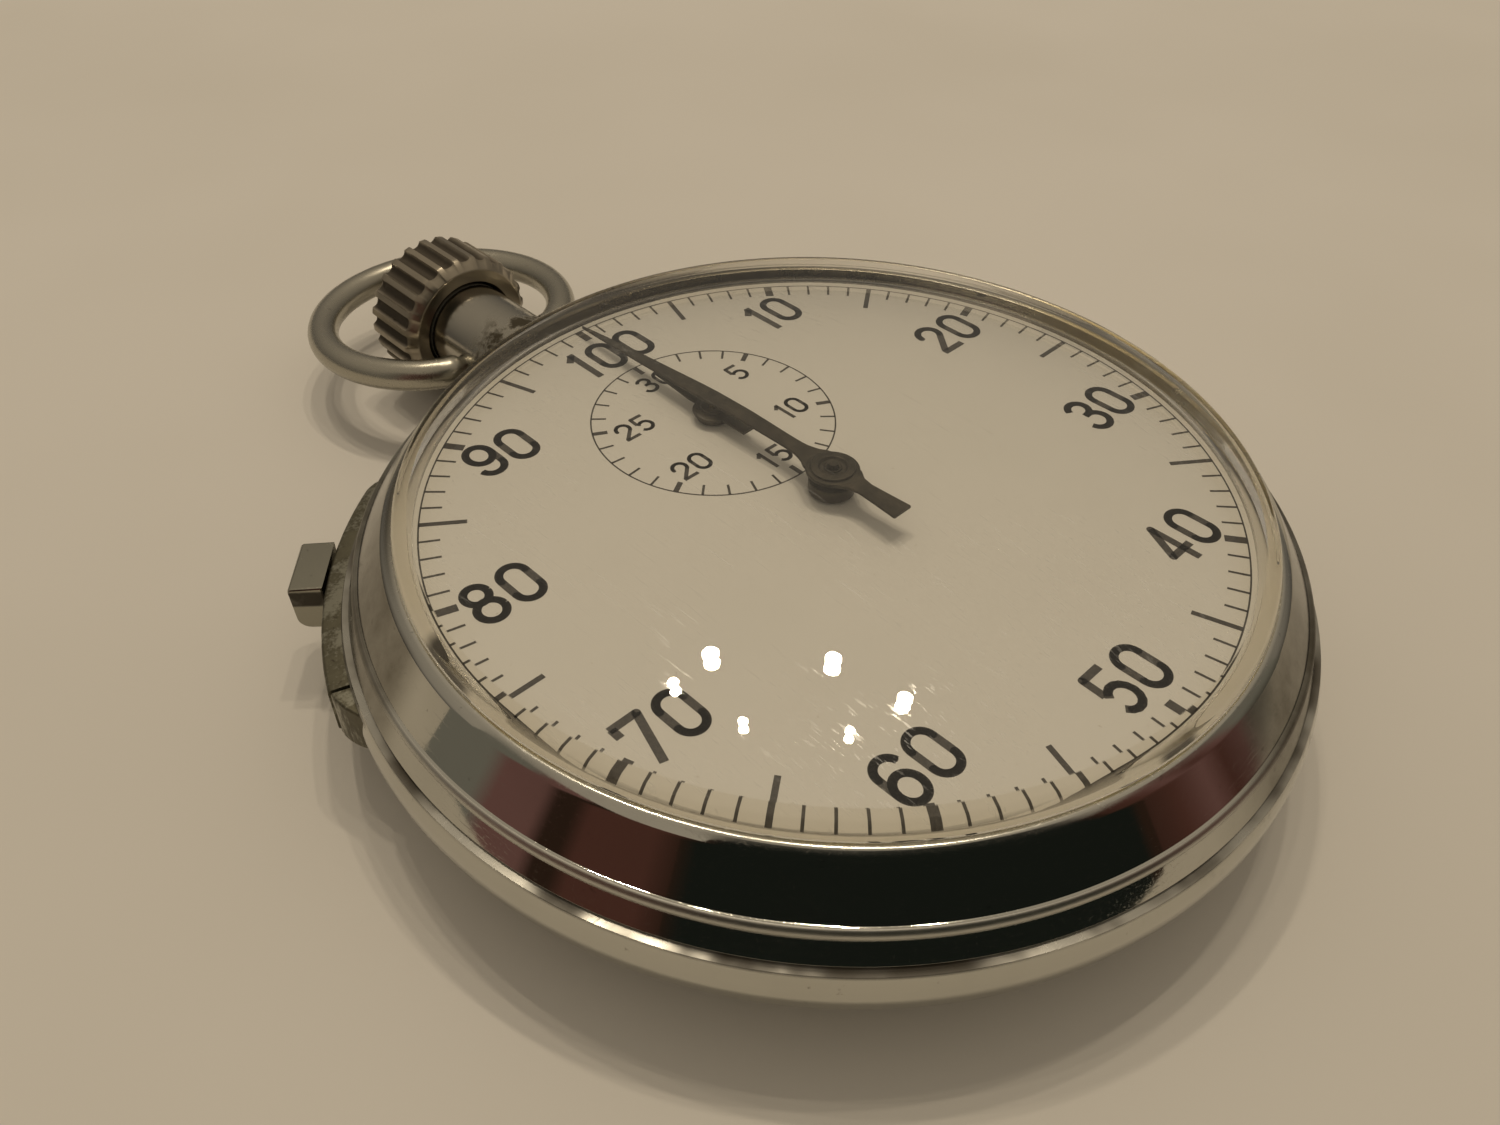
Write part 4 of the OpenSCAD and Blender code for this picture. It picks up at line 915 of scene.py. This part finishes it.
def sweep_hand():
    """Long hand: blade that bends down to the track, tail, hub plate and pipe with a dished top."""
    z = DIAL_Z + 1.42
    tip_z = 11.56
    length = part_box("sweep_hand")[1].y / MM - 0.02
    bend_y = 6.5
    sections = []
    # Distance from the axis and half width there
    widths = ((0.6, 1.15), (1.2, 1.0), (1.7, 0.68), (2.4, 0.5), (3.4, 0.48), (6.0, 0.52), (9.4, 0.57),
              (10.6, 0.55), (13.4, 0.44), (15.5, 0.37), (17.5, 0.28), (19.5, 0.17), (length - 0.3, 0.1),
              (length, 0.05))
    steps = 60
    for i in range(steps + 1):
        y = 0.6 + (length - 0.6) * i / steps
        for (ya, wa), (yb, wb) in zip(widths, widths[1:]):
            if ya <= y <= yb + 1e-9:
                half = wa + (wb - wa) * (y - ya) / (yb - ya)
        share = max(0.0, (y - bend_y) / (length - bend_y))
        sections.append((y, half, z - (z - tip_z) * share ** 1.15))
    front = blade("sweep_hand_blade", sections, 0.16)
    tail_widths = ((-0.6, 1.1), (-1.2, 0.95), (-1.7, 0.6), (-2.3, 0.5), (-3.2, 0.55), (-4.72, 0.66),
                   (-4.79, 0.63))
    tail = blade("sweep_hand_tail", [(y, half, z) for y, half in tail_widths], 0.16)
    plate = rounded([(0.52, z - 0.02), (1.45, z - 0.02, 0.05), (1.45, z + 0.18, 0.07), (0.52, z + 0.2)])
    hub = lathe("sweep_hand_hub", plate, hands, 96)
    place(front, "sweep", "hand_steel", "sweep_hand")
    place(tail, "sweep", "hand_steel")
    place(recalc(hub), "sweep", "hand_steel")
    tube = lathe("sweep_hand_pipe", rounded([
        (0.32, DIAL_Z + 0.16), (1.25, DIAL_Z + 0.16, 0.06), (1.25, DIAL_Z + 0.9, 0.08), (0.95, DIAL_Z + 0.92),
        (0.95, z - 0.03, 0.04), (0.5, z - 0.03), (0.5, z + 0.2), (1.22, z + 0.2, 0.02), (1.2, z + 0.32, 0.06),
        (0.8, z + 0.34, 0.06), (0.66, z + 0.16, 0.03), (0.46, z + 0.16, 0.03), (0.44, z + 0.26, 0.03),
        (0.32, z + 0.24, 0.02)]), hands, 96)
    place(recalc(tube), "sweep", "hand_steel", "sweep_hand_tube")


def minute_hand():
    """Short hand of the minute counter."""
    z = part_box("minute_hand")[0].z / MM
    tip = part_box("minute_hand")[1].y / MM
    front = blade("minute_hand_blade", [(COUNTER_Y + 0.6, 0.33, z), (COUNTER_Y + 1.8, 0.36, z),
                                        (tip - 1.5, 0.2, z), (tip - 0.02, 0.06, z)], 0.14)
    tail = blade("minute_hand_tail", [(COUNTER_Y - y, 0.4, z) for y in (2.83, 1.6, 0.6)], 0.14)
    hub = rounded([(0.44, z), (1.2, z, 0.04), (1.2, z + 0.17, 0.05), (0.44, z + 0.18)])
    pipe = rounded([(0.3, DIAL_Z + 0.12), (1.0, DIAL_Z + 0.12, 0.05), (1.0, z - 0.03, 0.05), (0.42, z - 0.03),
                    (0.42, z + 0.2), (0.75, z + 0.2, 0.02), (0.72, z + 0.35, 0.05), (0.3, z + 0.33, 0.03)])
    made = []
    for name, profile in (("minute_hand_hub", hub), ("minute_hand_pipe", pipe)):
        piece = recalc(lathe(name, profile, hands, 80))
        piece.data.transform(Matrix.Translation((0, COUNTER_Y * MM, 0)))
        made.append(piece)
    place(front, "minute", "hand_steel", "minute_hand")
    place(tail, "minute", "hand_steel")
    place(made[0], "minute", "hand_steel")
    place(made[1], "minute", "hand_steel", "minute_hand_tube")


case_middle()
case_back()
bezel()
crystal()
pendant_tube()
crown()
bow()
slide()
slide_knob()
dial()
dial_print()
sweep_hand()
minute_hand()

# Carried-over CAD nodes keep their shapes and take the movement's materials by slot
finish_of = {"brass": brass, "nickel_bridge": bridge_nickel, "steel": steel, "blued_steel": blued,
             "ruby": ruby_red, "hand_steel": hands, "nickel_case": case_metal, "worn_plating": slide_metal,
             "crystal": glass, "dial_enamel": paint}
slot_of = {part["node"]: part["material_slot"] for part in frame["record"]["subparts"]}
for name, node in frame["nodes"].items():
    node.data.materials.clear()
    node.data.materials.append(hands if name == "sweep_arbor" else finish_of[slot_of[name]])


# ------------------------------------------------------------------ stage, light and camera

def paper():
    """Matt off-white paper under the watch."""
    s = Shader("table_paper")
    cloud = s.noise(14.0, 3.0)
    fine = s.noise(1800.0, 3.0, 0.6)
    color = s.mix(s.ramp(cloud, 0.3, 0.7), rgb(0.74, 0.71, 0.66), rgb(0.7, 0.67, 0.615))
    s.surface(color, 0.85, 0.0, s.bump(fine, 0.06, 0.00003), Specular_IOR_Level=0.15)
    return s.material


TABLE_HALF = 900
corners = [(x * TABLE_HALF, y * TABLE_HALF, 0) for x, y in ((-1, -1), (1, -1), (1, 1), (-1, 1))]
make("table", corners, [(0, 1, 2, 3)], paper(), smooth=False)

# Bulbs of the ceiling lamp: compass direction and height above the table in degrees, and size
BULBS = ((71.1, 68.4, 30), (34.8, 71.2, 30), (7.9, 72.3, 27), (74.0, 77.2, 18), (19.1, 78.8, 18),
         (84.8, 69.0, 20))
BULB_RANGE = 950.0
WARM = (1.0, 0.86, 0.66)


def bulb(name, turn, height, size):
    """Round lamp aimed at the dial; larger bulbs give more light, so that all look equally bright."""
    turn = math.radians(turn)
    height = math.radians(height)
    level = BULB_RANGE * math.cos(height)
    at = Vector((level * math.cos(turn), level * math.sin(turn), BULB_RANGE * math.sin(height)))
    data = bpy.data.lights.new(name, "AREA")
    data.shape = "DISK"
    data.size = size * MM
    data.energy = 0.43 * (size / 24) ** 2
    data.color = WARM
    made = bpy.data.objects.new(name, data)
    made.location = at * MM
    made.rotation_euler = (Vector((0, 0, 10)) - at).to_track_quat("-Z", "Y").to_euler()
    bpy.context.scene.collection.objects.link(made)


for number, (turn, height, size) in enumerate(BULBS):
    bulb("bulb_%d" % number, turn, height, size)


def screen(name, turn0, turn1, reach, high, stops):
    """Upright curved screen that only reflections see. stops: (compass direction in degrees, colour)."""
    steps = 24
    rows = []
    for i in range(steps + 1):
        t = math.radians(turn0 + (turn1 - turn0) * i / steps)
        rows.append([(reach * math.cos(t), reach * math.sin(t), z) for z in (1.0, high)])
    s = Shader(name)
    turned = s.math("MODULO", s.math("ADD", s.math("DEGREES", s.azimuth()), 360.0), 360.0)
    wander = s.noise(60.0, 2.0, 0.5, s.stretched((1.0, 1.0, 0.12)))
    turned = s.math("ADD", turned, s.math("MULTIPLY", s.math("SUBTRACT", wander, 0.5), 5.0))
    share = s.math("DIVIDE", s.math("SUBTRACT", turned, turn0), turn1 - turn0)
    shade = s.node("ValToRGB")
    elements = shade.color_ramp.elements
    elements[0].color = stops[0][1]
    elements[1].color = stops[-1][1]
    for turn, color in stops[1:-1]:
        elements.new((turn - turn0) / (turn1 - turn0)).color = color
    s.link(share, shade.inputs[0])
    glow = s.node("Emission")
    s.tree.links.new(shade.outputs["Color"], glow.inputs["Color"])
    s.tree.links.new(glow.outputs[0], s.output.inputs["Surface"])
    made = make(name, [v for row in rows for v in row], grid_faces(steps + 1, 2, False, False), s.material)
    made.visible_camera = False
    made.visible_shadow = False
    made.visible_diffuse = False


# What the polished bezel shows of the room: a dark middle between two reddish-brown sides
GREY = rgb(0.17, 0.155, 0.12)
PINK = rgb(0.155, 0.075, 0.062)
BROWN = rgb(0.085, 0.034, 0.024)
UMBER = rgb(0.03, 0.016, 0.01)
NIGHT = rgb(0.011, 0.013, 0.01)
screen("room_left", 152, 204, 66, 60,
       [(152, GREY), (163, GREY), (167, PINK), (175, PINK), (178, UMBER), (181, UMBER), (184, BROWN),
        (196, BROWN), (201, UMBER), (204, NIGHT)])
screen("room_front", 200, 278, 64, 120, [(200, UMBER), (203, NIGHT), (276, NIGHT), (278, UMBER)])
screen("room_right", 276, 318, 66, 60,
       [(276, UMBER), (284, BROWN), (290, PINK), (296, BROWN), (301, PINK), (306, GREY), (318, GREY)])

world = bpy.data.worlds.new("room")
bpy.context.scene.world = world
world.use_nodes = True
tree = world.node_tree
# Soft light from all round, brighter overhead
background = tree.nodes["Background"]
background.inputs["Strength"].default_value = 0.56
direction = tree.nodes.new("ShaderNodeTexCoord")
split = tree.nodes.new("ShaderNodeSeparateXYZ")
tree.links.new(direction.outputs["Generated"], split.inputs[0])
shade = tree.nodes.new("ShaderNodeValToRGB")
tree.links.new(split.outputs[2], shade.inputs[0])
shade.color_ramp.elements[0].position = 0.0
shade.color_ramp.elements[0].color = (0.2, 0.18, 0.15, 1.0)
shade.color_ramp.elements[1].position = 0.7
shade.color_ramp.elements[1].color = (0.72, 0.62, 0.48, 1.0)
tree.links.new(shade.outputs[0], background.inputs["Color"])

# Camera at the photo's place, fitted to the dial's circles
camera_data = bpy.data.cameras.new("photo_camera")
camera_data.lens = 29.02
camera_data.sensor_width = 36.0
camera_data.clip_start = 0.001
camera_data.clip_end = 20.0
camera = bpy.data.objects.new("photo_camera", camera_data)
camera.location = [c * MM for c in (-38.58, -32.13, 51.72)]
camera.rotation_euler = [math.radians(a) for a in (47.4007, -0.9769, -44.4874)]
bpy.context.scene.collection.objects.link(camera)
bpy.context.scene.camera = camera
bpy.context.scene.view_settings.view_transform = "Standard"
